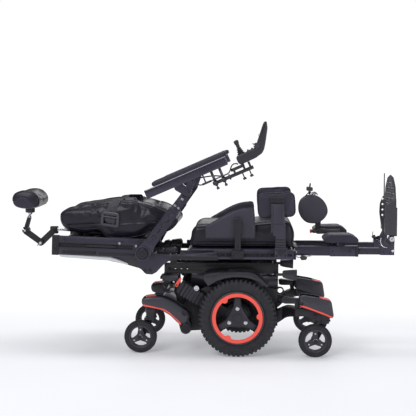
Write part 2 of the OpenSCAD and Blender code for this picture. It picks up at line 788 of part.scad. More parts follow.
// Sleeve under the beam that the control's lead slides in, and the two leads that run back from it
lead_sleeve = [254, 298];
module beam_leads() on_arm() {
  difference() {
    bar_x(-arm_y - 15, mount_n + 17, 5, lead_sleeve);
    bar_x(-arm_y - 15, mount_n + 17, 3.4, [lead_sleeve[0] + 3, lead_sleeve[1] + 1]);
  }
  block([268, 275], [-arm_y - 17, -arm_y - 13], [-34, -0.2]);
  lead([
    [253.6, -arm_y - 15, mount_n + 17], [246, -arm_y - 15, mount_n + 18], [238, -arm_y - 15, -32],
    [232, -arm_y - 14, -23], [226, -arm_y - 14, -12], [221, -arm_y - 13, -5]
  ], 3);
  lead([
    [350, -arm_y + 14, -40], [338, -arm_y + 14, -33], [322, -arm_y + 14, -25], [305, -arm_y + 13, -19],
    [287, -arm_y + 13, -14], [268, -arm_y + 12, -9], [248, -arm_y + 12, -5]
  ], 3);
}

module joystick_module() placed() color(dark) on_arm() difference() {
  union() {
    translate([0, -arm_y + 33, 0]) rotate([90, 0, 0]) linear_extrude(66) polygon([
      [440, 12], [448, 20], [530, 20], [548, 34], [606, 100], [618, 112], [630, 110],
      [622, 80], [592, 30], [572, 0], [556, -14], [520, -22], [448, -24], [440, -12]
    ]);
    bar_y(546, 26, 11, [-arm_y - 37, -arm_y + 37]);
  }
  bar_z(stick_s, -arm_y, 17, [-2, 40]);
  bar_y(stick_s, gimbal_n, 2 + running, [-arm_y - 22, -arm_y + 22]);
  // Well of the rocker switch and the bore of its pin
  block([rocker_s - 17, rocker_s + 17], [-arm_y - 8, -arm_y + 8], [10, 30]);
  bar_y(rocker_s, rocker_n, 1.5 + running, [-arm_y - 12, -arm_y + 12]);
}

// Rocker switch behind the stick
module joystick_rocker() placed() color(black) on_arm() {
  block([rocker_s - 14, rocker_s + 14], [-arm_y - 7, -arm_y + 7], [rocker_n - 2, 23]);
  for (side = [-1, 1]) bar_z(rocker_s + side * 10, -arm_y, 3.5, [22, 27]);
  bar_y(rocker_s, rocker_n, 1.5, [-arm_y - 11.5, -arm_y + 11.5]);
}

module joystick_gimbal() placed() color(steel) on_arm() {
  difference() {
    bar_z(stick_s, -arm_y, 12, [gimbal_n - 4, gimbal_n + 4]);
    bar_z(stick_s, -arm_y, 9, [gimbal_n - 5, gimbal_n + 5]);
    bar_x(-arm_y, gimbal_n, 1.5 + running, [stick_s - 20, stick_s + 20]);
  }
  for (side = [-1, 1]) bar_y(stick_s, gimbal_n, 2, [-arm_y + side * 16 - 4.5, -arm_y + side * 16 + 4.5]);
}

module joystick_stick() placed() color(black) on_arm() {
  translate([stick_s, -arm_y, gimbal_n]) sphere(r = 6);
  bar_x(-arm_y, gimbal_n, 1.5, [stick_s - 11, stick_s + 11]);
  bar_z(stick_s, -arm_y, 3.5, [gimbal_n, 60]);
  translate([stick_s, -arm_y, 21]) cylinder(r1 = 13, r2 = 7, h = 24);
  bar_z(stick_s, -arm_y, 8, [54, 72]);
  bar_z(stick_s, -arm_y, 10.5, [68, 82]);
}

// ---------- Legrests ----------

sleeve_x = [428, 557];
slide_half = [14, 15];
foot_pivot = [712, 526];
foot_pin_r = 5;

// Leg tube and the sleeve that its slide runs in
module leg_tube(y, shift) difference() {
  union() {
    block([knee_x + 10, sleeve_x[0]], [y - 18, y + 18], [knee_z - 21, knee_z + 21]);
    block([sleeve_x[0], sleeve_x[1] - shift], [y - 21, y + 21], [knee_z - 24, knee_z + 24]);
    bar_y(knee_x, knee_z, 21, [y - 24, y + 18]);
  }
  block([knee_x + 70, sleeve_x[1] + 1], [y - 15, y + 15], [knee_z - 16, knee_z + 16]);
}

// Bracket between a calf pad and its sleeve
module calf_bracket(y, x, z) {
  block([x - 14, x + 14], [y - 16, y + 16], [knee_z + 24, z]);
}

pommel_pivot = [380, 548];
pommel_pin_r = 4;

module legrest_frame() placed() {
  color(black) {
    difference() {
      union() {
        leg_tube(-leg_y, 0);
        mirror([0, 1, 0]) leg_tube(-leg_y, left_leg_short);
        bar_y(knee_x, knee_z, 17, [-leg_y, leg_y]);
      }
      both() bar_y(knee_x, knee_z, knee_pin_r + running, [-150, -122]);
    }
    block([446, 478], [-leg_y + 21, leg_y - 21], [knee_z - 14, knee_z + 14]);
    block([452, 472], [-10, 10], [knee_z + 14, 540]);
    bar_x(0, pommel_pivot[1], 11, [404, 484]);
    both() side_slab([-16, -8.6]) difference() {
      link_2d([412, pommel_pivot[1]], pommel_pivot, 11, 12);
      translate(pommel_pivot) circle(pommel_pin_r + running);
    }
    bar_y(358, pommel_pivot[1], 6, [-16, 16]);
    both() side_slab([-16, -8.6]) link_2d([358, pommel_pivot[1]], pommel_pivot - [14, 0], 8, 8);
    calf_bracket(-leg_y, 480, 508.8);
    calf_bracket(leg_y, 450, 526.8);
  }
  color("#d8322a") bar_x(0, pommel_pivot[1], 9, [342, 351]);
}

// Inner tube, heel block and the ears of the foot hinge
module leg_slide(y) {
  color(dark) block([470, 690], [y - slide_half[0], y + slide_half[0]], [knee_z - slide_half[1],
      knee_z + slide_half[1]]);
  color(black) {
    block([660, 724], [y - 22, y + 22], [knee_z - 16.6, knee_z + 30]);
    for (side = [-1, 1]) side_slab([y + side * 17 - 5, y + side * 17 + 5]) difference() {
      link_2d(foot_pivot - [8, 34], foot_pivot, 20, 13);
      translate(foot_pivot) circle(foot_pin_r + running);
    }
  }
}

module leg_slide_right() placed() leg_slide(-leg_y);
module leg_slide_left() placed() leg_slide(leg_y);

// Outline of a right foot plate, seen from the heel: sideways distance and height
foot_inner = -14;
foot_outer = -196;
foot_turn = 7.5;
foot_outline = [[foot_inner, 545], [foot_inner, 700], [-26, 762], [-60, 808], [-104, 823], [-150, 812],
    [-184, 770], [foot_outer, 712], [foot_outer, 545]];

// Foot plate with a thin open toe lattice, turned out a little and hinged at the heel
lattice_from = 676;
module footplate() {
  color(dark) translate([693, foot_inner, 0]) rotate([0, 0, foot_turn]) translate([0, -foot_inner, 0])
    rotate([90, 0, 90]) {
      linear_extrude(11) intersection() {
        polygon(foot_outline);
        translate([-200, 540]) square([200, lattice_from - 540]);
      }
      linear_extrude(5) difference() {
        intersection() {
          polygon(foot_outline);
          translate([-200, lattice_from - 1]) square([200, 160]);
        }
        for (row = [0 : 4], col = [0 : 5])
          translate([-34 - 25 * col - (row % 2) * 12, 690 + 24 * row])
            if (row < 4 || (col > 0 && col < 4)) if (!(row % 2 == 1 && col == 5)) circle(10.8, $fn = 6);
      }
    }
  color(black) {
    bar_y(foot_pivot[0], foot_pivot[1], 12.6, [-leg_y - 11.4, -leg_y + 11.4]);
    block([702, 724], [-leg_y - 11.4, -leg_y + 11.4], [518, 566]);
    bar_y(foot_pivot[0], foot_pivot[1], foot_pin_r, [-leg_y - 24, -leg_y + 24]);
    block([698, 712], [-leg_y - 26, -leg_y + 14], [550, 600]);
  }
}

// The right plate has a guard along its outer edge; the left one has a curved guard beside the ankle
module footplate_right() placed() {
  footplate();
  color(dark) side_plate([foot_outer - 2, foot_outer + 4], [[672, 550], [672, 684], [722, 716], [724,
      550]]);
}

module footplate_left() placed() {
  mirror([0, 1, 0]) footplate();
  color(black) difference() {
    side_plate([14, 19], [
      [702, 548], [694, 552], [680, 590], [673, 640], [675, 680], [686, 712], [702, 730]
    ]);
    for (z = [600 : 26 : 704]) bar_y(688, z, 4.5, [10, 24]);
  }
}

module calf_pad() side_plate([-188, -66], [
  [396, 514], [388, 530], [394, 541], [420, 551], [520, 552], [546, 541], [562, 522], [556, 513], [500,
      510], [430, 510]
]);

module calf_pads() placed() color(black) {
  calf_pad();
  translate([-left_leg_short, 0, 18]) mirror([0, 1, 0]) calf_pad();
}

// Knee pad on its post
module knee_pad() placed() color(black) {
  side_plate([-52, 52], smooth([
    [320, 592], [290, 625], [283, 668], [298, 706], [340, 726], [388, 716], [420, 680], [428, 640],
        [404, 602], [362, 584]
  ], 4));
  difference() {
    union() {
      side_slab([-8, 8]) link_2d(pommel_pivot, pommel_pivot + [0, 30], 12, 12);
      block([368, 392], [-8, 8], [572, 592]);
    }
    bar_y(pommel_pivot[0], pommel_pivot[1], pommel_pin_r - 1, [-10, 10]);
  }
  bar_y(pommel_pivot[0], pommel_pivot[1], pommel_pin_r, [-20, 20]);
}

// ---------- Nodes ----------

chassis_frame();
batteries();
drive_motors();
base_shrouds();
control_module();
light_pods();
tie_down_loops();
lift_outer_column();
lift_carriage();
drive_wheel(false);  // drive_wheel_right
drive_wheel(true);  // drive_wheel_left
front_arm(false);  // front_arm_right
front_arm(true);  // front_arm_left
rear_arm(false);  // rear_arm_right
rear_arm(true);  // rear_arm_left
front_arm_cover(false);  // front_arm_cover_right
front_arm_cover(true);  // front_arm_cover_left
rear_arm_cover(false);  // rear_arm_cover_right
rear_arm_cover(true);  // rear_arm_cover_left
front_fork(false);  // front_fork_right
front_fork(true);  // front_fork_left
rear_fork(false);  // rear_fork_right
rear_fork(true);  // rear_fork_left
front_caster(false);  // front_caster_right
front_caster(true);  // front_caster_left
rear_caster(false);  // rear_caster_right
rear_caster(true);  // rear_caster_left
freewheel_lever(false);  // freewheel_lever_right
freewheel_lever(true);  // freewheel_lever_left
seat_frame();
seat_cushion();
side_panels();
thigh_bracket(false);  // thigh_bracket_right
thigh_bracket(true);  // thigh_bracket_left
thigh_pad(false);  // thigh_pad_right
thigh_pad(true);  // thigh_pad_left
back_frame();
back_shell();
back_cushion();
headrest_bar();
headrest_link();
headrest_pad();
armrest_post(false);  // armrest_post_right
armrest_post(true);  // armrest_post_left
armrest_beam(false);  // armrest_beam_right
armrest_beam(true);  // armrest_beam_left
armrest_pad(false);  // armrest_pad_right
armrest_pad(true);  // armrest_pad_left
joystick_mount();
joystick_module();
joystick_gimbal();
joystick_stick();
joystick_rocker();
legrest_frame();
leg_slide_right();
leg_slide_left();
footplate_right();
footplate_left();
calf_pads();
knee_pad();
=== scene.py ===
"""Power wheelchair lying flat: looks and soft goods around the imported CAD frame."""
import json
import math

import bmesh
import bpy
from mathutils import Matrix, Vector, noise
from mathutils.bvhtree import BVHTree

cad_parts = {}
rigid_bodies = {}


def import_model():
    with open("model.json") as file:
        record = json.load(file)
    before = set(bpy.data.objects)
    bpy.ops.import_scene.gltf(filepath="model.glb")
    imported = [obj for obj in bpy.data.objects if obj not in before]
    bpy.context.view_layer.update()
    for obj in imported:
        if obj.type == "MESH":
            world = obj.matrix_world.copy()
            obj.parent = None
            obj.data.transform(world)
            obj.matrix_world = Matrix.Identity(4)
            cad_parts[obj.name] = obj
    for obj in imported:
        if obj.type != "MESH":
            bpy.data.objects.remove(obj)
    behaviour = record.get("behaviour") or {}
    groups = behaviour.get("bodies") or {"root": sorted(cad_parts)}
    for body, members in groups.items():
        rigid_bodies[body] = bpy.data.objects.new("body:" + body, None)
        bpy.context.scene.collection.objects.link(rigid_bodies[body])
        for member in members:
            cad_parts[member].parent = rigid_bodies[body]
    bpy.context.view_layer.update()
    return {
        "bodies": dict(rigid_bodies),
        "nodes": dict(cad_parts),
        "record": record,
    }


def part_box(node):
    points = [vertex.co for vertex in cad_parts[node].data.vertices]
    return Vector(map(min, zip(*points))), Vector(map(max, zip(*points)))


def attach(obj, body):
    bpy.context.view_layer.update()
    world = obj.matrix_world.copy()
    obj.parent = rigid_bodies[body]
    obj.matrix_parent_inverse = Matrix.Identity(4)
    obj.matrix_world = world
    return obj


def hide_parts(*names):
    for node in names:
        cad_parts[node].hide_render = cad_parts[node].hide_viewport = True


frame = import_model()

MM = 0.001

# ---------------------------------------------------------------- camera

AXLE_X = (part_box("drive_wheel_right")[0].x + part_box("drive_wheel_right")[1].x) / 2
CAMERA_AT = Vector((AXLE_X + 0.062, -4.5985, 1.0035))
CAMERA_YAW = math.radians(2.6)
CAMERA_PITCH = math.radians(4.3)

camera = bpy.data.objects.new("camera", bpy.data.cameras.new("camera"))
bpy.context.scene.collection.objects.link(camera)
camera.location = CAMERA_AT
camera.rotation_euler = (math.pi / 2 - CAMERA_PITCH, 0, CAMERA_YAW)
camera.data.sensor_width = 36
camera.data.lens = 83.08
camera.data.clip_end = 60
bpy.context.scene.camera = camera


def at(x, y, z):
    """A point given in millimetres from the drive axle's middle on the floor."""
    return Vector((AXLE_X + x * MM, y * MM, z * MM))


# ---------------------------------------------------------------- materials

class Nodes:
    """Small helper around one material's node tree."""

    def __init__(self, name):
        self.material = bpy.data.materials.new(name)
        self.material.use_nodes = True
        self.tree = self.material.node_tree
        self.shader = self.tree.nodes["Principled BSDF"]
        coordinates = self.tree.nodes.new("ShaderNodeTexCoord")
        self.place = coordinates.outputs["Object"]

    def link(self, a, b):
        self.tree.links.new(a, b)

    def feed(self, name, value):
        """Links an output to an input of the shader."""
        self.link(value, self.shader.inputs[name])

    def set(self, name, value):
        self.shader.inputs[name].default_value = value

    def node(self, kind, **values):
        made = self.tree.nodes.new(kind)
        for key, value in values.items():
            if key in made.inputs:
                made.inputs[key].default_value = value
            else:
                setattr(made, key, value)
        return made

    def noise(self, scale, detail=4.0, rough=0.55, stretch=None):
        made = self.node("ShaderNodeTexNoise", Scale=scale, Detail=detail, Roughness=rough)
        if stretch:
            mapping = self.node("ShaderNodeMapping", Scale=stretch)
            self.link(self.place, mapping.inputs["Vector"])
            self.link(mapping.outputs["Vector"], made.inputs["Vector"])
        else:
            self.link(self.place, made.inputs["Vector"])
        return made.outputs["Fac"]

    def ramp(self, factor, low, high, start=0.3, end=0.7):
        made = self.node("ShaderNodeValToRGB")
        made.color_ramp.elements[0].position = start
        made.color_ramp.elements[1].position = end
        made.color_ramp.elements[0].color = (*low, 1)
        made.color_ramp.elements[1].color = (*high, 1)
        self.link(factor, made.inputs["Fac"])
        return made.outputs["Color"]

    def mix(self, factor, a, b, blend="MIX"):
        made = self.node("ShaderNodeMix", data_type="RGBA", blend_type=blend)
        for value, socket in ((a, made.inputs[6]), (b, made.inputs[7])):
            if isinstance(value, tuple):
                socket.default_value = (*value, 1)
            else:
                self.link(value, socket)
        if isinstance(factor, float):
            made.inputs[0].default_value = factor
        else:
            self.link(factor, made.inputs[0])
        return made.outputs[2]

    def span(self, factor, low, high, start=0.3, end=0.7):
        limits = {"From Min": start, "From Max": end, "To Min": low, "To Max": high}
        made = self.node("ShaderNodeMapRange", **limits)
        self.link(factor, made.inputs["Value"])
        return made.outputs["Result"]

    def bump(self, height, distance, strength=1.0, before=None):
        made = self.node("ShaderNodeBump", Strength=strength, Distance=distance)
        self.link(height, made.inputs["Height"])
        if before:
            self.link(before, made.inputs["Normal"])
        return made.outputs["Normal"]

    def wear(self, start=0.52, end=0.62):
        """1 on sharp outer edges, 0 elsewhere."""
        geometry = self.node("ShaderNodeNewGeometry")
        return self.span(geometry.outputs["Pointiness"], 0.0, 1.0, start, end)


def tint(colour, factor):
    return tuple(min(1.0, c * factor) for c in colour)


def coated(name, colour, rough, metallic=0.0, grain=900, depth=0.00006, edge=1.6, blotch=0.12, coat=0.0):
    """Powder coat, moulded plastic or anodised metal: fine grain, faint blotches and paler worn edges."""
    n = Nodes(name)
    base = n.ramp(n.noise(7), tint(colour, 1 - blotch), tint(colour, 1 + blotch))
    scuffs = n.span(n.noise(55, 6, 0.7), 0.0, 0.35, 0.56, 0.72)
    base = n.mix(scuffs, base, tint(colour, 1.25))
    base = n.mix(n.wear(), base, tint(colour, edge))
    n.feed("Base Color", base)
    n.feed("Roughness", n.span(n.noise(30, 5), rough - 0.07, rough + 0.1))
    n.feed("Normal", n.bump(n.noise(grain, 3), depth))
    n.set("Metallic", metallic)
    n.set("Coat Weight", coat)
    n.set("Coat Roughness", 0.15)
    return n.material


def brushed(name, colour, rough, along=(1, 30, 30)):
    """Bare or anodised metal with a drawn finish along X."""
    n = Nodes(name)
    streak = n.noise(60, 6, 0.6, stretch=along)
    n.feed("Base Color", n.ramp(streak, tint(colour, 0.82), tint(colour, 1.12)))
    n.feed("Roughness", n.span(streak, rough - 0.06, rough + 0.12))
    n.feed("Normal", n.bump(streak, 0.00004))
    n.set("Metallic", 1.0)
    return n.material


def vinyl(name, colour, rough, pebble=620, crease=0.00035):
    """Upholstery skin: pebbled grain, soft creases and uneven gloss."""
    n = Nodes(name)
    cells = n.node("ShaderNodeTexVoronoi", Scale=pebble, feature="SMOOTH_F1")
    n.link(n.place, cells.inputs["Vector"])
    folds = n.noise(12, 2, 0.4)
    n.feed("Base Color", n.ramp(n.noise(5), tint(colour, 0.9), tint(colour, 1.2)))
    n.feed("Roughness", n.span(n.noise(14, 3), rough - 0.02, rough + 0.05))
    soft = n.bump(folds, crease)
    n.feed("Normal", n.bump(cells.outputs["Distance"], 0.00005, 0.4, soft))
    n.set("Specular IOR Level", 0.28)
    n.set("Coat Weight", 0.05)
    n.set("Coat Roughness", 0.25)
    return n.material


def rubber(name, colour, rough=0.72, depth=0.0002):
    """Tyre or moulded rubber with dust in the hollows."""
    n = Nodes(name)
    dust = n.span(n.noise(18, 6, 0.65), 0.0, 0.5, 0.5, 0.75)
    base = n.mix(dust, colour, tint(colour, 1.9))
    base = n.mix(n.wear(0.5, 0.6), base, tint(colour, 1.5))
    n.feed("Base Color", base)
    n.feed("Roughness", n.span(n.noise(40, 4), rough - 0.08, rough + 0.12))
    n.feed("Normal", n.bump(n.noise(420, 4), depth))
    return n.material


def webbing(name, colour):
    """Woven strap: crossed ribs about 1.5 mm apart."""
    n = Nodes(name)
    ribs = n.node("ShaderNodeTexWave", Scale=210, Distortion=0.4, bands_direction="X")
    cross = n.node("ShaderNodeTexWave", Scale=150, Distortion=0.6, bands_direction="Z")
    for wave in (ribs, cross):
        n.link(n.place, wave.inputs["Vector"])
    weave = n.mix(0.5, ribs.outputs["Color"], cross.outputs["Color"])
    n.feed("Base Color", n.mix(n.span(n.noise(60), 0.0, 0.6), tint(colour, 0.8), tint(colour, 1.4)))
    n.feed("Normal", n.bump(weave, 0.0004))
    n.feed("Roughness", n.span(n.noise(90), 0.55, 0.8))
    n.set("Sheen Weight", 0.15)
    return n.material


# Near-black painted shade for slots, holes and channels: on the rails' slot faces, and as thin plates over the
# slots of the posts, thigh clamps and shell rail.
RECESS_SHADE = coated("painted_recess_shade", (0.004, 0.004, 0.005), 0.6, edge=1.1)
FRAME_BLACK = coated("frame_black", (0.014, 0.0135, 0.018), 0.42, 0.25)
RAIL = coated("rail_anodised", (0.038, 0.034, 0.052), 0.36, 0.55, grain=1400, depth=0.00003)
PLASTIC = coated("moulded_plastic", (0.026, 0.025, 0.034), 0.5, grain=700, depth=0.0001)
SHROUD = coated("shroud_plastic", (0.013, 0.0125, 0.018), 0.34, grain=700, depth=0.00008, coat=0.12)
COVER = coated("cover_plastic", (0.032, 0.030, 0.042), 0.38, grain=900, coat=0.1)
HOUSING = coated("cast_housing", (0.026, 0.025, 0.033), 0.48, 0.3, grain=500, depth=0.00012)
CORAL = coated("coral_plastic", (0.90, 0.085, 0.055), 0.36, grain=1100, depth=0.00003, edge=1.15, blotch=0.05,
               coat=0.25)
RED = coated("red_cap", (0.70, 0.02, 0.025), 0.35, edge=1.2, coat=0.2)
STEEL = brushed("bright_steel", (0.62, 0.63, 0.66), 0.22)
ALLOY = brushed("drawn_alloy", (0.42, 0.42, 0.45), 0.34)
TYRE = rubber("tyre_rubber", (0.014, 0.014, 0.018))
GRIP = rubber("soft_rubber", (0.016, 0.016, 0.019), 0.6, 0.0001)
VINYL = vinyl("black_vinyl", (0.0125, 0.0112, 0.0190), 0.36)
FOAM = vinyl("skinned_foam", (0.0240, 0.0210, 0.0360), 0.48, 900, 0.0002)
PANEL = vinyl("grey_panel_skin", (0.036, 0.033, 0.048), 0.44, 900, 0.0003)
STRAP = webbing("strap_webbing", (0.030, 0.029, 0.038))
FELT = vinyl("knee_felt", (0.050, 0.047, 0.062), 0.8, 1500, 0.0002)

LOOK = {
    "black_frame": FRAME_BLACK, "battery_case": PLASTIC, "motor_case": HOUSING, "base_plastic": SHROUD,
    "tie_down_steel": FRAME_BLACK, "lift_steel": ALLOY, "drive_tyre": TYRE, "arm_cover": COVER,
    "caster_tyre": TYRE, "coral_plastic": CORAL, "rail_metal": RAIL, "black_vinyl": VINYL, "arm_foam": FOAM,
    "grey_panel": PANEL, "bright_steel": STEEL, "control_plastic": PLASTIC, "stick_rubber": GRIP,
    "footplate_plastic": PLASTIC,
}


def paint(node, *regions):
    """Gives a CAD node its slot's material, then each (material, test of a face's middle) in turn."""
    mesh = frame["nodes"][node].data
    mesh.materials.clear()
    slot = next(s["material_slot"] for s in frame["record"]["subparts"] if s["node"] == node)
    mesh.materials.append(LOOK[slot])
    for index, (material, test) in enumerate(regions, 1):
        mesh.materials.append(material)
        for face in mesh.polygons:
            if test(face.center):
                face.material_index = index


for name in frame["nodes"]:
    paint(name)

# ---------------------------------------------------------------- floor and light

world = bpy.data.worlds.new("studio")
bpy.context.scene.world = world
world.use_nodes = True
sky = world.node_tree
seen = sky.nodes["Background"]
seen.inputs["Color"].default_value = (1, 1, 1, 1)
seen.inputs["Strength"].default_value = 1.0
lit = sky.nodes.new("ShaderNodeBackground")
lit.inputs["Color"].default_value = (0.93, 0.95, 1, 1)
lit.inputs["Strength"].default_value = 0.26
path = sky.nodes.new("ShaderNodeLightPath")
choose = sky.nodes.new("ShaderNodeMixShader")
sky.links.new(path.outputs["Is Camera Ray"], choose.inputs[0])
sky.links.new(lit.outputs[0], choose.inputs[1])
sky.links.new(seen.outputs[0], choose.inputs[2])
sky.links.new(choose.outputs[0], sky.nodes["World Output"].inputs["Surface"])
bpy.context.scene.view_settings.view_transform = "Standard"

FLOOR_REACH = 30
corners = [(x * FLOOR_REACH, y * FLOOR_REACH, 0) for x, y in ((-1, -1), (1, -1), (1, 1), (-1, 1))]
floor_mesh = bpy.data.meshes.new("floor")
floor_mesh.from_pydata(corners, [], [(0, 1, 2, 3)])
floor = bpy.data.objects.new("floor", floor_mesh)
bpy.context.scene.collection.objects.link(floor)
floor_look = Nodes("studio_floor")
parts = floor_look.node("ShaderNodeSeparateXYZ")
floor_look.link(floor_look.place, parts.inputs[0])
behind = floor_look.span(parts.outputs["Y"], 0.0, 1.0, -0.25, 1.15)
reach = floor_look.node("ShaderNodeVectorMath", operation="LENGTH")
floor_look.link(floor_look.place, reach.inputs[0])
around = floor_look.span(reach.outputs["Value"], 0.0, 1.0, 1.9, 3.4)
farther = floor_look.node("ShaderNodeMath", operation="MAXIMUM")
floor_look.link(behind, farther.inputs[0])
floor_look.link(around, farther.inputs[1])
far = farther.outputs[0]
near_tone = floor_look.ramp(floor_look.noise(0.8), (0.80, 0.805, 0.83), (0.84, 0.845, 0.865))
floor_look.feed("Base Color", floor_look.mix(far, near_tone, (0.0, 0.0, 0.0)))
floor_look.set("Roughness", 0.6)
floor_look.set("Specular IOR Level", 0.1)
floor_look.feed("Emission Color", floor_look.mix(far, (0.95, 0.96, 1.0), (1.0, 1.0, 1.0)))
floor_look.feed("Emission Strength", floor_look.span(far, 0.22, 1.04, 0.0, 1.0))
floor_mesh.materials.append(floor_look.material)


def area_light(name, place, target, size, power, colour=(1, 1, 1)):
    light = bpy.data.lights.new(name, "AREA")
    light.shape = "RECTANGLE"
    light.size, light.size_y = size
    light.energy = power
    light.color = colour
    made = bpy.data.objects.new(name, light)
    bpy.context.scene.collection.objects.link(made)
    made.location = place
    made.rotation_euler = (Vector(target) - Vector(place)).to_track_quat("-Z", "Y").to_euler()


area_light("key", (-1.6, -3.4, 3.0), (0, 0, 0.5), (2.2, 1.4), 70)
area_light("fill", (2.8, -3.0, 1.4), (0.2, 0, 0.5), (1.6, 1.6), 30, (0.93, 0.95, 1.0))
area_light("top", (0, 0.2, 3.6), (0, 0, 0.4), (3.4, 1.2), 60)
area_light("rim", (0.4, 3.4, 1.8), (0, 0, 0.6), (3.0, 1.0), 16)
# ---------------------------------------------------------------- mesh helpers

UP = (0, 0, 1)
OUT = (0, -1, 0)
SIDES = ((-1, "right"), (1, "left"))
SCREW_SEGMENTS = 24


def new_object(name, bm, body, *materials, left=False, sharp=32):
    """Makes a piece from bm and lets it ride on body; left mirrors what was drawn for the right."""
    if left:
        bmesh.ops.scale(bm, vec=(1, -1, 1), verts=bm.verts)
        bmesh.ops.reverse_faces(bm, faces=bm.faces)
    mesh = bpy.data.meshes.new(name)
    bm.to_mesh(mesh)
    bm.free()
    for material in materials:
        mesh.materials.append(material)
    mesh.shade_smooth()
    mesh.set_sharp_from_angle(angle=math.radians(sharp))
    made = bpy.data.objects.new(name, mesh)
    bpy.context.scene.collection.objects.link(made)
    if body:
        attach(made, body)
    return made


def side_name(base, left):
    """The base name with its side at the end, or in place of a star."""
    side = "left" if left else "right"
    return base.replace("*", side) if "*" in base else f"{base}_{side}"


def faces_between(bm, rows, close_rows=False):
    """Quads between neighbouring rings of vertices."""
    count = len(rows[0])
    pairs = list(zip(rows, rows[1:])) + ([(rows[-1], rows[0])] if close_rows else [])
    for a, b in pairs:
        for i in range(count):
            j = (i + 1) % count
            bm.faces.new((a[i], a[j], b[j], b[i]))


def cap_ends(bm, rows):
    bm.faces.new(rows[0][::-1])
    bm.faces.new(rows[-1])


def turned(radius, height, angle):
    """A point in metres, at a radius and height in millimetres about Z."""
    return Vector((radius * math.cos(angle), radius * math.sin(angle), height)) * MM


def lathe(bm, profile, place, segments=48, closed=False):
    """Revolves (radius, height) points about place's Z; closed joins the last point to the first."""
    rows = [[bm.verts.new(place @ turned(radius, height, math.tau * k / segments)) for k in range(segments)]
            for radius, height in profile]
    faces_between(bm, rows, close_rows=closed)
    if not closed:
        cap_ends(bm, rows)


def anticlockwise(outline):
    area = sum(a[0] * b[1] - b[0] * a[1] for a, b in zip(outline, outline[1:] + outline[:1]))
    return list(outline) if area > 0 else list(reversed(outline))


def inset(outline, amount):
    """An anticlockwise outline moved inwards along its corner bisectors."""
    moved = []
    count = len(outline)
    for i, (x, z) in enumerate(outline):
        ax, az = outline[i - 1]
        bx, bz = outline[(i + 1) % count]
        one = Vector((x - ax, z - az)).normalized()
        two = Vector((bx - x, bz - z)).normalized()
        normal = Vector((-(one.y + two.y), one.x + two.x))
        length = max(normal.length, 1e-6)
        normal = normal / length
        miter = min(1.6, 1 / max(0.4, normal.dot(Vector((-one.y, one.x)))))
        moved.append((x + normal.x * amount * miter, z + normal.y * amount * miter))
    return moved


def rounded_plate(bm, outline, y, edge, steps=3, crown=0.0, rings=0, place=None):
    """Solid of an XZ outline between two Y values with rounded rims; crown swells both faces."""
    outline = anticlockwise(outline)
    low, high = y
    layers = []
    for k in range(steps + 1):
        angle = math.pi / 2 * k / steps
        layers.append((edge * (1 - math.sin(angle)), low + edge * (1 - math.cos(angle))))
    for k in range(steps + 1):
        angle = math.pi / 2 * k / steps
        layers.append((edge * (1 - math.cos(angle)), high - edge * (1 - math.sin(angle))))

    def ring(points, depth):
        if place:
            return [bm.verts.new(place @ (Vector((x, depth, z)) * MM)) for x, z in points]
        return [bm.verts.new(at(x, depth, z)) for x, z in points]

    rows = [ring(inset(outline, amount), depth) for amount, depth in layers]
    if rings:
        rim = inset(outline, edge)
        mx, mz = (sum(p[k] for p in rim) / len(rim) for k in (0, 1))
        for end, start, sign in ((0, low, -1), (1, high, 1)):
            made = []
            for k in range(1, rings):
                share = 1 - k / rings
                points = [(mx + (x - mx) * share, mz + (z - mz) * share) for x, z in rim]
                made.append(ring(points, start + sign * crown * (1 - share * share)))
            rows = rows + made if end else made[::-1] + rows
    faces_between(bm, rows)
    cap_ends(bm, rows)


def curve_through(points, per=6, closed=False):
    """Smooth line through the points, as Vectors."""
    points = [Vector(p) for p in points]
    count = len(points)
    out = []
    for i in range(count if closed else count - 1):
        if closed:
            a, b, c, d = (points[(i + k) % count] for k in (-1, 0, 1, 2))
        else:
            b, c = points[i], points[i + 1]
            a = points[i - 1] if i else b * 2 - c
            d = points[i + 2] if i + 2 < count else c * 2 - b
        for k in range(per):
            t = k / per
            square, cube = 2 * a - 5 * b + 4 * c - d, 3 * b - a - 3 * c + d
            out.append((2 * b + (c - a) * t + square * t * t + cube * t ** 3) / 2)
    if not closed:
        out.append(points[-1])
    return out


def flat_curve(points, per=5):
    """Closed smooth outline in XZ."""
    return [(p.x, p.y) for p in curve_through([(x, z, 0) for x, z in points], per, True)]


def sweep(bm, path, section, up=UP, closed=False):
    """Moves a closed (across, out) section in millimetres along a path of points in metres."""
    path = [Vector(p) for p in path]
    count = len(path)
    side = Vector(up)
    rows = []
    for i, point in enumerate(path):
        before = path[i - 1] if i or closed else path[0]
        after = path[(i + 1) % count] if i + 1 < count or closed else path[-1]
        along = (after - before).normalized()
        side = (side - along * side.dot(along)).normalized()
        across = along.cross(side)
        rows.append([bm.verts.new(point + (across * a + side * b) * MM) for a, b in section])
    faces_between(bm, rows, close_rows=closed)
    if not closed:
        cap_ends(bm, rows)


def circle(radius, count=12):
    angles = [math.tau * k / count for k in range(count)]
    return [(radius * math.cos(angle), radius * math.sin(angle)) for angle in angles]


def strap_section(width, thick):
    """Rounded flat section of webbing."""
    w, t = width / 2, thick / 2
    half = [(-w, -t * 0.4), (-w + t, -t), (0, -t), (w - t, -t), (w, -t * 0.4)]
    return half + [(-a, -b) for a, b in half]


def facing(point, out, spin=0.0):
    """Matrix whose Z points along out, at a point in metres."""
    turn = Vector(out).to_track_quat("Z", "Y").to_matrix().to_4x4()
    return Matrix.Translation(Vector(point)) @ turn @ Matrix.Rotation(spin, 4, "Z")


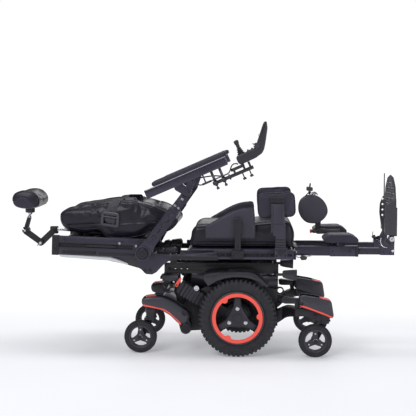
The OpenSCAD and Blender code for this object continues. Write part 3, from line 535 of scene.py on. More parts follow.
def screw(bm, point, out, radius=5.0, height=4.0, washer=0.0):
    """Socket-head screw with a six-sided recess, on an optional washer."""
    place = facing(point, out)
    if washer:
        lathe(bm, [(washer, -0.3), (washer, 1.0), (washer - 0.6, 1.3), (radius * 0.7, 1.3)], place, 28)
    angles = [math.tau * k / SCREW_SEGMENTS for k in range(SCREW_SEGMENTS)]
    profile = [(radius, 0), (radius, height - 0.9), (radius - 0.9, height), (radius * 0.56, height)]
    rings = [[(r, angle) for angle in angles] for r, _ in profile]
    hexagon = [(radius * 0.46 / math.cos(angle % (math.pi / 3) - math.pi / 6), angle) for angle in angles]
    rows = [[bm.verts.new(place @ turned(r, h, angle)) for r, angle in ring]
            for ring, h in zip(rings + [hexagon, hexagon], [h for _, h in profile] + [height, height * 0.45])]
    faces_between(bm, rows)
    cap_ends(bm, rows)


def soften(outline, cut, steps=4):
    """Outline with each corner rounded off over cut millimetres."""
    out = []
    for i, corner in enumerate(outline):
        corner, before = Vector(corner), Vector(outline[i - 1])
        after = Vector(outline[(i + 1) % len(outline)])
        a = corner + (before - corner).normalized() * min(cut, (before - corner).length * 0.45)
        b = corner + (after - corner).normalized() * min(cut, (after - corner).length * 0.45)
        for k in range(steps + 1):
            t = k / steps
            out.append(tuple(a * (1 - t) ** 2 + corner * 2 * t * (1 - t) + b * t * t))
    return out


def band(line, low, high):
    """Closed outline between two offsets above a line of (x, z) points that runs towards +X."""
    sides = ([], [])
    for i, point in enumerate(line):
        along = (Vector(line[min(len(line) - 1, i + 1)]) - Vector(line[max(0, i - 1)])).normalized()
        for side, amount in zip(sides, (low, high)):
            side.append(tuple(Vector(point) + Vector((-along.y, along.x)) * amount))
    return sides[0] + sides[1][::-1]


def line_through(points, per=4):
    return [(p.x, p.y) for p in curve_through([(x, z, 0) for x, z in points], per)]


def box(x0, x1, z0, z1):
    return [(x0, z0), (x1, z0), (x1, z1), (x0, z1)]


class Drawing:
    """A piece being drawn in millimetres: from the drive axle, or in place's frame."""

    def __init__(self, place=None):
        self.bm = bmesh.new()
        self.place = place

    def at(self, x, y, z):
        return self.place @ (Vector((x, y, z)) * MM) if self.place else at(x, y, z)

    def plate(self, outline, y, edge, cut=0, **more):
        rounded_plate(self.bm, soften(outline, cut) if cut else outline, y, edge, place=self.place, **more)

    def disc(self, profile, x, y, z, segments, out=OUT):
        lathe(self.bm, profile, facing(self.at(x, y, z), out), segments)

    def screws(self, spots, y, radius, height, washer=0.0, out=OUT):
        for x, z in spots:
            screw(self.bm, self.at(x, y, z), out, radius, height, washer)

    def tube(self, path, radius, count=8, up=(0, 1, 0)):
        sweep(self.bm, [self.at(*point) for point in path], circle(radius, count), up)


def finished(drawing, name, body, material, nodes=(), left=False, sharp=32):
    made = new_object(name, drawing.bm, body, material, left=left, sharp=sharp)
    if nodes:
        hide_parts(*nodes)
    return made


def single(name, body, material, nodes=(), place=None, sharp=32):
    """Decorates the drawing of a piece that has no twin, and makes it."""
    def make(draw):
        drawing = Drawing(place)
        draw(drawing)
        return finished(drawing, name, body, material, nodes, sharp=sharp)
    return make


def twins(name, body, material, nodes=(), place=None, sharp=32):
    """Decorates the drawing of a right-hand piece, and makes it and its mirror image on the left."""
    def make(draw):
        made = []
        for left in (False, True):
            drawing = Drawing(place)
            draw(drawing, left)
            rides = side_name(body, left) if side_name(body, left) in frame["bodies"] else body
            stands_for = [side_name(node, left) for node in nodes]
            label = side_name(name, left)
            made.append(finished(drawing, label, rides, material, stands_for, left, sharp))
        return made
    return make
# ---------------------------------------------------------------- drive wheels

TREAD_LUGS = 52
SPOKES = (90, 210, 330)
LOBES = (5, 125, 245)
DRIVE_WHEEL_AT = (0, -268, 178)
TYRE_STEPS = 104
RING_STEPS = 216


def wheel_place(x, y, z):
    """Wheel frame of a right-hand wheel: X forward, Y up, Z out of the chair."""
    return Matrix.Translation(at(x, y, z)) @ Matrix(((1, 0, 0, 0), (0, 0, -1, 0), (0, 1, 0, 0), (0, 0, 0, 1)))


def drive_tyre(left):
    place = wheel_place(*DRIVE_WHEEL_AT)
    bm = bmesh.new()
    outer = [(123, 26), (128, 32), (138, 35.5), (150, 36.6), (160, 36), (167, 33), (171, 27), (172.4, 16),
             (173, 0)]
    profile = outer + [(r, -h) for r, h in reversed(outer[:-1])]
    lathe(bm, profile, place, TYRE_STEPS, closed=True)
    # Raised bead rings on both sidewalls
    for sign in (1, -1):
        bead = [(r, sign * h) for r, h in ((131, 33), (133, 35.4), (136, 35.8), (138, 35))]
        lathe(bm, bead[::sign], place, TYRE_STEPS, closed=True)
    for k in range(TREAD_LUGS):
        for row, sign in ((0, 1), (0.5, -1)):
            lug(bm, place, math.tau * (k + row) / TREAD_LUGS, sign)
    body = side_name("drive_wheel", left)
    return new_object(side_name("drive_tyre", left), bm, body, TYRE, left=left, sharp=28)


def lug(bm, place, middle, sign):
    """One shoulder lug: a block across the tread that wraps down the sidewall."""
    stations = [(170.5, 4, 5.0), (170.5, 20, 6.2), (169, 30, 6.8), (163, 35.2, 6.0), (153, 36.0, 3.8)]
    tops = [(177.0, 5, 3.6), (177.8, 19, 4.8), (175.8, 29.5, 5.2), (166.5, 36.6, 4.4), (154, 36.9, 2.6)]
    rows = []
    for (r0, h0, w0), (r1, h1, w1) in zip(stations, tops):
        lean = 0.035 * (h0 / 36)
        ring = []
        for r, h, w in ((r0, h0, -w0), (r1, h1, -w1), (r1, h1, w1), (r0, h0, w0)):
            angle = middle + w / 174 + lean * sign
            ring.append(bm.verts.new(place @ turned(r, sign * h, angle)))
        rows.append(ring if sign > 0 else ring[::-1])
    faces_between(bm, rows)
    cap_ends(bm, rows)


def drive_rim(left):
    place = wheel_place(*DRIVE_WHEEL_AT)
    out = place.to_3x3() @ Vector(UP)
    body = side_name("drive_wheel", left)
    bm = bmesh.new()
    # Barrel of the rim with rolled lips
    barrel = [(122.5, 29), (123, 31), (120, 32.5), (116, 31.5), (114, 28), (113, 10), (112, -20), (115, -30),
              (121, -32), (122.5, -28), (117, -24), (116, 0), (117.5, 24)]
    lathe(bm, barrel, place, 96, closed=True)
    # Back plate of the hub with its bolt circle
    lathe(bm, [(20, -30), (46, -30), (50, -26), (52, -14), (44, -6), (30, 0), (20, 2)], place, 64)
    for k in range(6):
        screw(bm, place @ turned(36, -2, math.tau * (k + 0.5) / 6), out, 5, 4)
    new_object(side_name("drive_rim", left), bm, body, PLASTIC, left=left)

    star = bmesh.new()
    outline = []
    flank = [(34, -31), (52, -20), (80, -17), (108, -21), (113, -20)]
    for spoke in SPOKES:
        turn = math.radians(spoke)
        for along, across in flank + [(along, -across) for along, across in flank[::-1]]:
            outline.append((along * math.cos(turn) - across * math.sin(turn),
                            along * math.sin(turn) + across * math.cos(turn)))

    def dome_ring(points, height, fall, share=1.0):
        heights = [height - fall * (x * x + y * y) * share for x, y in points]
        return [star.verts.new(place @ (Vector((x * share, y * share, z)) * MM))
                for (x, y), z in zip(points, heights)]

    dome = [dome_ring(inset(outline, grow), height, 0.0011)
            for height, grow in ((2, 0), (17, 0), (21.5, 2.5), (24, 6))]
    dome += [dome_ring(inset(outline, 6), 24.6, 0.0009, share) for share in (0.72, 0.4)]
    faces_between(star, dome)
    cap_ends(star, dome)
    # Hub cap in the middle
    lathe(star, [(21, 20), (21, 25.5), (19, 27.4), (12, 28.4), (0.5, 28.8)], place, 48)
    new_object(side_name("wheel_star", left), star, body, HOUSING, left=left)

    ring = bmesh.new()
    rows = [[] for _ in range(6)]
    for k in range(RING_STEPS):
        angle = math.tau * k / RING_STEPS
        reach = 0.0
        for lobe in LOBES:
            away = abs((math.degrees(angle) - lobe + 180) % 360 - 180)
            reach = max(reach, 11 * max(0.0, 1 - (away / 8.5) ** 3) if away < 8.5 else 0.0)
        inner = 98 - reach
        section = ((114.6, 29.5), (115, 32), (113.6, 33.4), (inner + 1.4, 33.4), (inner, 32),
                   (inner + 0.4, 28.5))
        for row, (r, h) in zip(rows, section):
            row.append(ring.verts.new(place @ turned(r, h, angle)))
    faces_between(ring, rows, close_rows=True)
    new_object(side_name("coral_ring", left), ring, body, CORAL, left=left)

    bolts = bmesh.new()
    for spoke in SPOKES:
        screw(bolts, place @ turned(43, 21.2, math.radians(spoke)), out, 6.6, 4.6, washer=8.6)
    new_object(side_name("wheel_bolts", left), bolts, body, STEEL, left=left)


for left in (False, True):
    tyre = drive_tyre(left)
    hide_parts(side_name("drive_wheel", left))
    drive_rim(left)

# ---------------------------------------------------------------- caster wheels

CASTERS = {"front": (353, -275), "rear": (-450, -215)}


def caster(end, left):
    x, y = CASTERS[end]
    place = wheel_place(x, y, 76)
    body = side_name(end + "_caster", left)
    tyre = bmesh.new()
    outer = [(53, 20), (56, 22.3), (62, 22.8), (69, 21), (73.5, 16.5), (75.4, 10), (76, 4)]
    lathe(tyre, outer + [(r, -h) for r, h in reversed(outer)], place, 72, closed=True)
    made = new_object(side_name(end + "_caster_tyre", left), tyre, body, TYRE, left=left)
    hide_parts(body)

    hub = bmesh.new()
    rim = [(53.4, 20), (51, 21), (46.5, 19), (45, 12), (45, -12), (46.5, -19), (51, -21), (53.4, -20)]
    lathe(hub, rim, place, 64, closed=True)
    lathe(hub, [(17, -20), (17.5, -6), (17.5, 13), (15, 17), (10, 18)], place, 40)
    for spoke in SPOKES:
        turn = math.radians(spoke)
        rows = []
        for along, across, low, high in ((8, 15, -9, 15), (20, 13, -9, 14.5), (34, 10.5, -9, 13),
                                         (46.5, 14, -9, 14)):
            ring = []
            for w, h in ((-across, low), (across, low), (across, high - 3), (across - 3, high),
                         (3 - across, high), (-across, high - 3)):
                x = along * math.cos(turn) - w * math.sin(turn)
                y = along * math.sin(turn) + w * math.cos(turn)
                ring.append(hub.verts.new(place @ (Vector((x, y, h)) * MM)))
            rows.append(ring)
        faces_between(hub, rows)
        cap_ends(hub, rows)
    new_object(side_name(end + "_caster_hub", left), hub, body, PLASTIC, left=left)

    bright = bmesh.new()
    out = place.to_3x3() @ Vector(UP)
    for spoke in SPOKES:
        screw(bright, place @ turned(33, 12.6, math.radians(spoke)), out, 4.2, 3.2)
    screw(bright, place @ (Vector((0, 0, 17)) * MM), out, 7.5, 5.5, washer=10)
    new_object(side_name(end + "_caster_bolts", left), bright, body, STEEL, left=left)


for end in CASTERS:
    for left in (False, True):
        caster(end, left)
# ---------------------------------------------------------------- soft goods

CLOTH_FRAMES = 20

def evaluated(obj):
    """The object's mesh with its modifiers applied."""
    graph = bpy.context.evaluated_depsgraph_get()
    return bpy.data.meshes.new_from_object(obj.evaluated_get(graph))


def swap_mesh(obj, mesh):
    old = obj.data
    obj.modifiers.clear()
    obj.data = mesh
    bpy.data.meshes.remove(old)


def inflate(obj, pressure, limit):
    """Lets the closed skin swell under pressure as cloth; no point moves further than limit."""
    before = [v.co.copy() for v in obj.data.vertices]
    cloth = obj.modifiers.new("cloth", "CLOTH")
    settings = cloth.settings
    settings.quality = 4
    settings.mass = 0.35
    settings.tension_stiffness = 12
    settings.compression_stiffness = 12
    settings.bending_stiffness = 0.8
    settings.use_pressure = True
    settings.uniform_pressure_force = pressure
    settings.effector_weights.gravity = 0
    cloth.collision_settings.use_collision = False
    scene = bpy.context.scene
    for number in range(1, CLOTH_FRAMES + 1):
        scene.frame_set(number)
    mesh = evaluated(obj)
    scene.frame_set(1)
    swap_mesh(obj, mesh)
    for vertex, start in zip(obj.data.vertices, before):
        moved = vertex.co - start
        if moved.length > limit:
            vertex.co = start + moved * (limit / moved.length)


def cushion(name, bm, body, material, nodes, voxel, pressure, limit, shape, detail):
    """A padded piece: even mesh, swollen skin, then seams and creases. Returns it and its surface tree."""
    obj = new_object(name, bm, None, material)
    remesh = obj.modifiers.new("even", "REMESH")
    remesh.mode = "VOXEL"
    remesh.voxel_size = voxel * MM * 1
    swap_mesh(obj, evaluated(obj))
    if shape:
        for vertex in obj.data.vertices:
            vertex.co = shape(vertex.co)
    inflate(obj, pressure, limit * MM)
    smooth = obj.modifiers.new("finer", "SUBSURF")
    smooth.levels = smooth.render_levels = 1
    swap_mesh(obj, evaluated(obj))
    relax = obj.modifiers.new("relax", "SMOOTH")
    relax.factor = 0.5
    relax.iterations = 9
    swap_mesh(obj, evaluated(obj))
    if detail:
        normals = [v.normal.copy() for v in obj.data.vertices]
        for vertex, normal in zip(obj.data.vertices, normals):
            vertex.co += normal * (detail(vertex.co, normal) * MM)
    obj.data.materials.clear()
    obj.data.materials.append(material)
    obj.data.shade_smooth()
    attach(obj, body)
    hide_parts(*nodes)
    surface = bmesh.new()
    surface.from_mesh(obj.data)
    tree = BVHTree.FromBMesh(surface)
    surface.free()
    return obj, tree


def from_axle(point):
    """Millimetres from the drive axle of a point in metres."""
    return (point.x - AXLE_X) / MM, point.y / MM, point.z / MM


def groove(distance, width, depth):
    """Soft trench of a sewn seam, in millimetres."""
    return -depth * math.exp(-(distance / width) ** 2)


def rumple(point, scale, amount, stretch=(1, 1, 1)):
    """Irregular creases: ridged noise, in millimetres."""
    p = Vector(a * b for a, b in zip(point, stretch)) * scale
    ridge = max(0.0, 1 - 2 * math.sqrt(noise.noise(p) ** 2 + 0.012))
    return amount * (ridge * ridge - 0.3)


def on_surface(tree, points, lift=0.0):
    """Points moved to the nearest place on a surface, lifted in millimetres."""
    out = []
    for point in points:
        spot, normal, _, _ = tree.find_nearest(Vector(point))
        out.append(spot + normal * lift * MM)
    return out


def resampled(path, step, closed=False):
    """Points an even step apart (metres) along a path."""
    path = [Vector(p) for p in path] + ([Vector(path[0])] if closed else [])
    lengths = [0.0]
    for a, b in zip(path, path[1:]):
        lengths.append(lengths[-1] + (b - a).length)
    count = max(2, round(lengths[-1] / step))
    out, i = [], 0
    for k in range(count if closed else count + 1):
        want = lengths[-1] * k / count
        while i < len(lengths) - 2 and lengths[i + 1] < want:
            i += 1
        share = (want - lengths[i]) / max(1e-9, lengths[i + 1] - lengths[i])
        out.append(path[i].lerp(path[i + 1], min(1, max(0, share))))
    return out


def mirrored(obj, name, body, nodes):
    """The left-hand twin of a padded piece."""
    mesh = obj.data.copy()
    mesh.transform(Matrix.Diagonal((1, -1, 1, 1)))
    mesh.flip_normals()
    made = bpy.data.objects.new(name, mesh)
    bpy.context.scene.collection.objects.link(made)
    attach(made, body)
    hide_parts(*nodes)
    return made


def piping(name, tree, points, body, material, radius=2.4, closed=True, lift=0.4, left=False):
    """Corded seam along a surface."""
    path = resampled(on_surface(tree, points, lift), 0.006, closed)
    bm = bmesh.new()
    sweep(bm, path, circle(radius, 8), up=(0.31, 0.42, 0.85), closed=closed)
    return new_object(name, bm, body, material, left=left, sharp=60)


# Seat cushion: dished top, higher front, boxed sides with two corded seams

SEAT_OUTLINE = [
    (-210, 492), (20, 490), (236, 490), (258, 503), (263, 550), (256, 588), (234, 610),
    (190, 613), (60, 603), (-80, 596), (-186, 594), (-213, 578), (-220, 540),
]


def seat_shape(point):
    x, y, z = from_axle(point)
    if z < 555:
        return point
    share = min(1, (z - 555) / 30)
    across = abs(y) / 200
    dish = -13 * (1 - across ** 2.2) * (1 if x < 120 else max(0.2, 1 - (x - 120) / 120))
    ridge = 7 * math.exp(-((y / 40) ** 2)) * max(0, min(1, (x - 20) / 150))
    return point + Vector((0, 0, (dish + ridge) * share * MM))


def seat_detail(point, normal):
    x, y, z = from_axle(point)
    side = abs(y) > 180
    crease = rumple(point, 14, 1.5, (1, 1, 2.2)) * (0.9 if side else 0.45)
    seam = groove(z - 512, 3.5, 1.8) if side or x > 240 or x < -195 else 0
    top = groove(abs(y) - 150, 4, 2.6) if z > 575 and -200 < x < 225 else 0
    cross = groove(x + 40, 4, 2.0) if z > 575 and abs(y) < 150 else 0
    front = groove(x - 205, 5, 2.4) if z > 560 else 0
    return crease + seam + top + cross + front


bm = bmesh.new()
rounded_plate(bm, flat_curve(SEAT_OUTLINE, 4), (-198, 198), 24, steps=4, crown=3, rings=5)
_, seat_tree = cushion("seat_cover", bm, "seat", VINYL, ["seat_cushion"], 6.5, 4, 7,
                       seat_shape, seat_detail)
for sign, side in SIDES:
    loop = [at(x, sign * 197, z) for x, z in flat_curve(SEAT_OUTLINE, 4)]
    piping("seat_side_piping_" + side, seat_tree, loop, "seat", VINYL, 2.6)

# Back cushion: deep wings, hollow middle and a rounded head end

BACK_RISE = math.radians(2)
RECLINE = at(-432, 0, 470)


def on_back(point):
    """A point drawn with the back level, turned to the back's rise."""
    return RECLINE + Matrix.Rotation(BACK_RISE, 3, "Y") @ (Vector(point) - RECLINE)


BACK_OUTLINE = [
    (-650, 560), (-714, 556), (-770, 564), (-812, 577), (-835, 600), (-840, 630), (-832, 652), (-800, 666),
    (-747, 676), (-690, 685), (-648, 692), (-593, 701), (-540, 707), (-467, 706), (-404, 693), (-345, 668),
    (-294, 638), (-273, 612), (-286, 586), (-328, 566), (-400, 550), (-446, 534), (-500, 524), (-560, 522),
    (-616, 528),
]


def back_shape(point):
    x, y, z = from_axle(point)
    length = min(1, max(0, (x + 826) / 550))
    swell = math.sin(math.pi * min(1, max(0.08, length * 0.92 + 0.06)))
    if z > 600:
        share = min(1, (z - 600) / 40)
        hollow = (1 - min(1, abs(y) / 158) ** 3.2)
        point = point + Vector((0, 0, -52 * hollow * swell * share * MM))
        lumbar = 16 * math.exp(-(((x + 430) / 70) ** 2)) * hollow * share
        point = point + Vector((0, 0, lumbar * MM))
    narrow = 1 - 0.06 * max(0, (-x - 640) / 190) ** 1.5 if x < -640 else 1
    return Vector((point.x, point.y * narrow, point.z))


def back_detail(point, normal):
    x, y, z = from_axle(point)
    flank = abs(y) > 165
    folds = rumple(point, 5, 3.0, (0.6, 1, 2.4)) + rumple(point, 13, 0.7, (1.0, 1, 2.0))
    crease = folds * (1.0 if flank else 0.5)
    ribs = 0.0
    if flank and 575 < z < 640 and -680 < x < -330:
        ribs = 1.6 * math.sin((x + z * 0.35) / 9.5) * math.exp(-((z - 612) / 22) ** 2)
    seam = groove(z - (600 + 0.05 * (x + 560)), 4, 3.2) if flank else 0
    top = groove(abs(y) - 132, 5, 3.5) if z > 610 else 0
    across = groove(x + 560, 5, 3.0) + groove(x + 380, 5, 3.0) if z > 600 and abs(y) < 132 else 0
    return crease + ribs + seam + top + across


bm = bmesh.new()
rounded_plate(bm, flat_curve(BACK_OUTLINE, 4), (-193, 193), 22, steps=4, crown=6, rings=5)
_, back_tree = cushion("back_cover", bm, "back_shell", VINYL, ["back_cushion"], 6.5, 5, 9,
                       back_shape, back_detail)

# Headrest: padded face with raised ends over a plainer back, and its socket

HEAD_OUTLINE = [
    (-1040, 663), (-1064, 676), (-1073, 704), (-1060, 732), (-1020, 745), (-978, 742),
    (-950, 722), (-941, 692), (-952, 668), (-990, 660),
]


def head_seam(x):
    """Height of the seam between the headrest's face and its back."""
    share = min(1, max(0, (x + 1074) / 133))
    return 684 + 34 * math.sin(math.pi * min(1, share * 1.25)) ** 0.8 - 10 * share


def head_shape(point):
    x, y, z = from_axle(point)
    if z > 690:
        hollow = max(0, 1 - (abs(y) / 92) ** 2.4)
        point = point + Vector((0, 0, -9 * hollow * min(1, (z - 690) / 40) * MM))
    round_end = max(0, (abs(y) - 90) / 40)
    return Vector((point.x, point.y, point.z - 6 * round_end ** 2 * MM * (1 if z > 700 else -0.4)))


def head_detail(point, normal):
    x, y, z = from_axle(point)
    seam = groove(z - head_seam(x), 2.6, 2.6) if abs(y) > 88 else 0
    stem = 0
    if abs(y) > 106 and z < head_seam(x) - 3:
        stem = groove(x + 1020, 3, 1.6) + groove(x + 992, 3, 1.6) - (1.2 if -1018 < x < -994 else 0)
    return seam + stem + rumple(point, 14, 0.8, (1, 1, 1.8))


bm = bmesh.new()
rounded_plate(bm, flat_curve(HEAD_OUTLINE, 4), (-112, 112), 13, steps=4, crown=6, rings=4)
head, _ = cushion("headrest_cover", bm, "headrest_pad", VINYL, ["headrest_pad"], 4.5, 4, 5,
                  head_shape, head_detail)
head.data.materials.append(FOAM)
for face in head.data.polygons:
    x, y, z = from_axle(face.center)
    if z < head_seam(x) and abs(y) > 84:
        face.material_index = 1


@single("headrest_socket", "headrest_pad", PLASTIC)
def headrest_socket(d):
    d.disc([(16, 3), (22, 5), (23, 10), (23, 24), (20, 30), (20, 38)], -1010, 0, 629, 40, UP)



# Thigh supports: flat pads with a boxed rim

THIGH_TURN = math.radians(-3)


def thigh_point(u, w):
    """A point of the pad's face, from its middle in millimetres, as X and Z."""
    along, across = math.cos(THIGH_TURN), math.sin(THIGH_TURN)
    return 175.5 + u * along + w * across, 689 - u * across + w * along


def rounded_rectangle(half_width, half_height, radius, steps=5):
    out = []
    for cx, cy, start in ((1, -1, -90), (1, 1, 0), (-1, 1, 90), (-1, -1, 180)):
        for k in range(steps + 1):
            angle = math.radians(start + 90 * k / steps)
            out.append((cx * (half_width - radius) + radius * math.cos(angle),
                        cy * (half_height - radius) + radius * math.sin(angle)))
    return out


def thigh_detail(point, normal):
    x, y, z = from_axle(point)
    rim = groove(y + 238, 2.2, 1.8) + groove(y + 219, 2.2, 1.8) if abs(normal.y) < 0.8 else 0
    return rim + rumple(point, 12, 0.6)


thigh_rim = [thigh_point(u, w) for u, w in rounded_rectangle(86, 57.5, 25)]
bm = bmesh.new()
rounded_plate(bm, thigh_rim, (-242, -213.5), 8, steps=4, crown=2, rings=4)
thigh, thigh_tree = cushion("thigh_cover_right", bm, "thigh_support_right", FOAM, ["thigh_pad_right"],
                            4.5, 3, 4, None, thigh_detail)
mirrored(thigh, "thigh_cover_left", "thigh_support_left", ["thigh_pad_left"])
for left in (False, True):
    for depth in (-240, -216):
        rim = [at(x, depth, z) for x, z in (thigh_point(u, w) for u, w in rounded_rectangle(88, 60, 26))]
        body = side_name("thigh_support", left)
        piping(side_name(f"thigh_piping_{-depth}", left), thigh_tree, rim, body, FOAM, 1.5, left=left)

# Knee pad: felted face with corded edges, on its post

KNEE_OUTLINE = [
    (320, 595), (293, 627), (287, 667), (301, 703), (340, 722), (386, 712), (416, 678), (424, 640), (402, 606),
    (362, 588),
]


def knee_detail(point, normal):
    x, y, z = from_axle(point)
    return groove(abs(y) - 43, 2.4, 1.6) * (abs(normal.y) < 0.8) + rumple(point, 16, 0.7)


bm = bmesh.new()
rounded_plate(bm, flat_curve(KNEE_OUTLINE, 3), (-49, 49), 9, steps=4, crown=4, rings=5)
_, knee_tree = cushion("knee_cover", bm, "knee_pad", FELT, ["knee_pad"], 4.5, 4, 5,
                       None, knee_detail)
for sign, side in SIDES:
    rim = [at(x, sign * 47, z) for x, z in flat_curve(KNEE_OUTLINE, 3)]
    piping("knee_piping_" + side, knee_tree, rim, "knee_pad", FELT, 1.9)


@single("knee_pad_post", "knee_pad", FRAME_BLACK)
def knee_pad_post(d):
    d.plate([(368, 546), (392, 546), (394, 606), (366, 606)], (-7.5, 7.5), 1.5)
    d.disc([(3.8, -8.4), (3.8, 8.4)], 380, 0, 548, 24, (0, 1, 0))



# Calf pads: moulded wedges with a stepped top; the left one sits further back and higher

CALF_OUTLINE = [
    (399, 515), (391, 529), (397, 540), (421, 549.5), (519, 550.5), (545, 539.5), (559, 522), (554, 514.5),
    (500, 511.5), (430, 511.5),
]


def calf_detail(point, normal):
    x, y, z = from_axle(point)
    side = groove(z - 521 - (x > 540) * 2, 2.2, 1.6) * (abs(normal.z) < 0.75)
    top = groove(abs(abs(y) - 127) - 48, 3, 1.4) * (z > 545)
    return side + top + rumple(point, 14, 0.3)


def calf_shape(point):
    x, y, z = from_axle(point)
    if z > 540:
        return point + Vector((0, 0, -5 * (1 - min(1, abs(abs(y) - 127) / 52) ** 2) * MM))
    return point


for left in (False, True):
    shift, rise = (-30, 18) if left else (0, 0)
    bm = bmesh.new()
    outline = [(x + shift, z + rise) for x, z in CALF_OUTLINE]
    rounded_plate(bm, outline, (-186, -68), 5, steps=3, crown=1.5, rings=4)
    if left:
        bmesh.ops.scale(bm, vec=(1, -1, 1), verts=bm.verts)
        bmesh.ops.reverse_faces(bm, faces=bm.faces)

    offset = Vector((shift, 0, rise)) * MM
    cushion(side_name("calf_cover", left), bm, "legrest", FOAM, [] if left else ["calf_pads"],
            4, 2, 2.5, lambda point: calf_shape(point - offset) + offset,
            lambda point, normal: calf_detail(point - offset, normal))

# Armrest pads: long skinned-foam slabs, round in front

ARM_SLOPE = math.radians(23.3)
ARM_FRAME = Matrix.Translation(at(-407, 0, 719)) @ Matrix.Rotation(-ARM_SLOPE, 4, "Y")


def on_arm(s, y, n):
    return ARM_FRAME @ (Vector((s, y, n)) * MM)


def along_arm(point):
    local = ARM_FRAME.inverted() @ point
    return local.x / MM, local.y / MM, local.z / MM


def arm_pad_detail(point, normal):
    s, y, n = along_arm(point)
    return groove(n - 47, 2.2, 1.5) * (n < 52) + rumple(point, 10, 0.3)


bm = bmesh.new()
rows = []
plan = [(42, -27), (42, 27), (52, 28.5), (230, 28.5), (380, 28.5)]
round_end = [math.radians(degrees) for degrees in range(15, 180, 15)]
plan += [(380 + 28.5 * math.sin(angle), 28.5 * math.cos(angle)) for angle in round_end]
plan += [(380, -28.5), (230, -28.5), (52, -28.5)]
for n, grow in ((40.6, -3), (42.5, 0), (52, 0), (57.5, -2), (60.5, -6)):
    ring = inset(anticlockwise(plan), -grow)
    rows.append([bm.verts.new(on_arm(s, y - 275, n)) for s, y in ring])
for share in (0.66, 0.33):
    rows.append([bm.verts.new(on_arm(211 + (s - 211) * (0.7 + 0.3 * share), y * share - 275, 61.6))
                 for s, y in inset(anticlockwise(plan), 6)])
faces_between(bm, rows)
cap_ends(bm, rows)
arm_pad, _ = cushion("arm_cover_right", bm, "armrest_right", FOAM, ["armrest_pad_right"],
                     4.5, 2, 2, None, arm_pad_detail)
mirrored(arm_pad, "arm_cover_left", "armrest_left", ["armrest_pad_left"])


# Bright alloy strips along both lower edges of the pad, painted as the highlight line where the pad meets the
# beam.
@twins("arm_trim", "armrest", ALLOY, place=ARM_FRAME)
def arm_trim(d, left):
    for sign, _ in SIDES:
        path = [d.at(s, -275 + sign * 23.4, 38.2) for s in (8, 200, 396)]
        sweep(d.bm, path, [(-1.8, -0.6), (1.8, -0.6), (1.8, 0.8), (-1.8, 0.8)], (0, sign, 0))



# Side panels: thin padded boards with a corded edge, each on a post clamped to the rail

PANEL_OUTLINE = [
    (-148, 540), (-150, 562), (-148, 589), (-111, 614), (-70, 638), (-30, 658), (5, 670),
    (42, 675), (70, 673), (76.5, 640), (80.5, 585), (78.5, 544), (68, 534.5), (-30, 532.5), (-136, 533.5),
]


def panel_detail(point, normal):
    x, y, z = from_axle(point)
    return rumple(point, 9, 0.5) - 1.2 * math.exp(-((x - 20) / 10) ** 2) * (abs(z - 590) < 34)


bm = bmesh.new()
rounded_plate(bm, flat_curve(PANEL_OUTLINE, 3), (-225, -217), 3, steps=3, crown=1.2, rings=5)
panel, panel_tree = cushion("side_panel_right", bm, "seat", PANEL, ["side_panels"], 4, 2, 2,
                            None, panel_detail)
mirrored(panel, "side_panel_left", "seat", [])
for left in (False, True):
    rim = [at(x, -224, z) for x, z in flat_curve(PANEL_OUTLINE, 3)]
    piping(side_name("panel_piping", left), panel_tree, rim, "seat", PANEL, 2.0, left=left)


@twins("panel_post", "seat", FRAME_BLACK)
def panel_post(d, left):
    d.plate([(-14, 483), (14, 483), (14, 626), (9, 631), (-9, 631), (-14, 626)], (-250, -239), 2)
    d.plate(box(-12, 12, 560, 622), (-239.5, -225.6), 1)
    d.plate([(-29, 444), (28, 444), (28, 478), (22, 483), (-24, 483), (-29, 478)], (-254, -235.4), 2)
    d.screws(((-20, 463), (19, 463), (-20, 452)), -254, 4.4, 3.4, 6.4)
    d.screws(((0, 500),), -250, 4.4, 3.4, 6.4)
    for k in range(4):
        d.disc([(3.2, 0), (3.2, 0.6), (1.6, 0.7)], 0, -250, 520 + 24 * k, 16)

# ---------------------------------------------------------------- hard parts of the frame
EDGE_ROUNDING = 0.9
TIE_DOWN = Vector((-333, 303))


def zone(x, z, y=(0, 999)):
    """Test of a face's middle against X, Z and distance from the middle plane, in millimetres."""
    def inside(point):
        px, py, pz = from_axle(point)
        return x[0] <= px <= x[1] and z[0] <= pz <= z[1] and y[0] <= abs(py) <= y[1]
    return inside


paint("headrest_bar", (FRAME_BLACK, zone((-985, -874), (460, 580))))
paint("headrest_link", (FRAME_BLACK, zone((-1060, -930), (470, 607), (0, 17.5))))
paint("legrest_frame", (RED, zone((341, 352), (538, 558), (0, 9.5))),
      (PLASTIC, zone((352, 600), (530, 560), (0, 17))))
paint("tie_down_loops", (STEEL, lambda point: (Vector(from_axle(point)[::2]) - TIE_DOWN).length < 14.5))
# The slot faces of the seat rail and back rail are painted near-black as the shade inside the slots.
paint("seat_frame", (FRAME_BLACK, zone((-312, -110), (435, 462), (200, 300))),
      (RECESS_SHADE, zone((-97, 249), (453, 467), (225, 235.2))))
paint("back_frame", (RECESS_SHADE, zone((-830, -480), (478, 516), (225, 232.6))))

for node in frame["nodes"].values():
    node.data.shade_smooth()
    node.data.set_sharp_from_angle(angle=math.radians(30))
    node.modifiers.new("weld", "WELD").merge_threshold = 0.00002
    edge = node.modifiers.new("edge", "BEVEL")
    edge.width = EDGE_ROUNDING * MM
    edge.segments = 2
    edge.limit_method = "ANGLE"
    edge.angle_limit = math.radians(40)
    edge.harden_normals = True

# Covers of the suspension arms: moulded shells with an inlaid coral stripe and cap

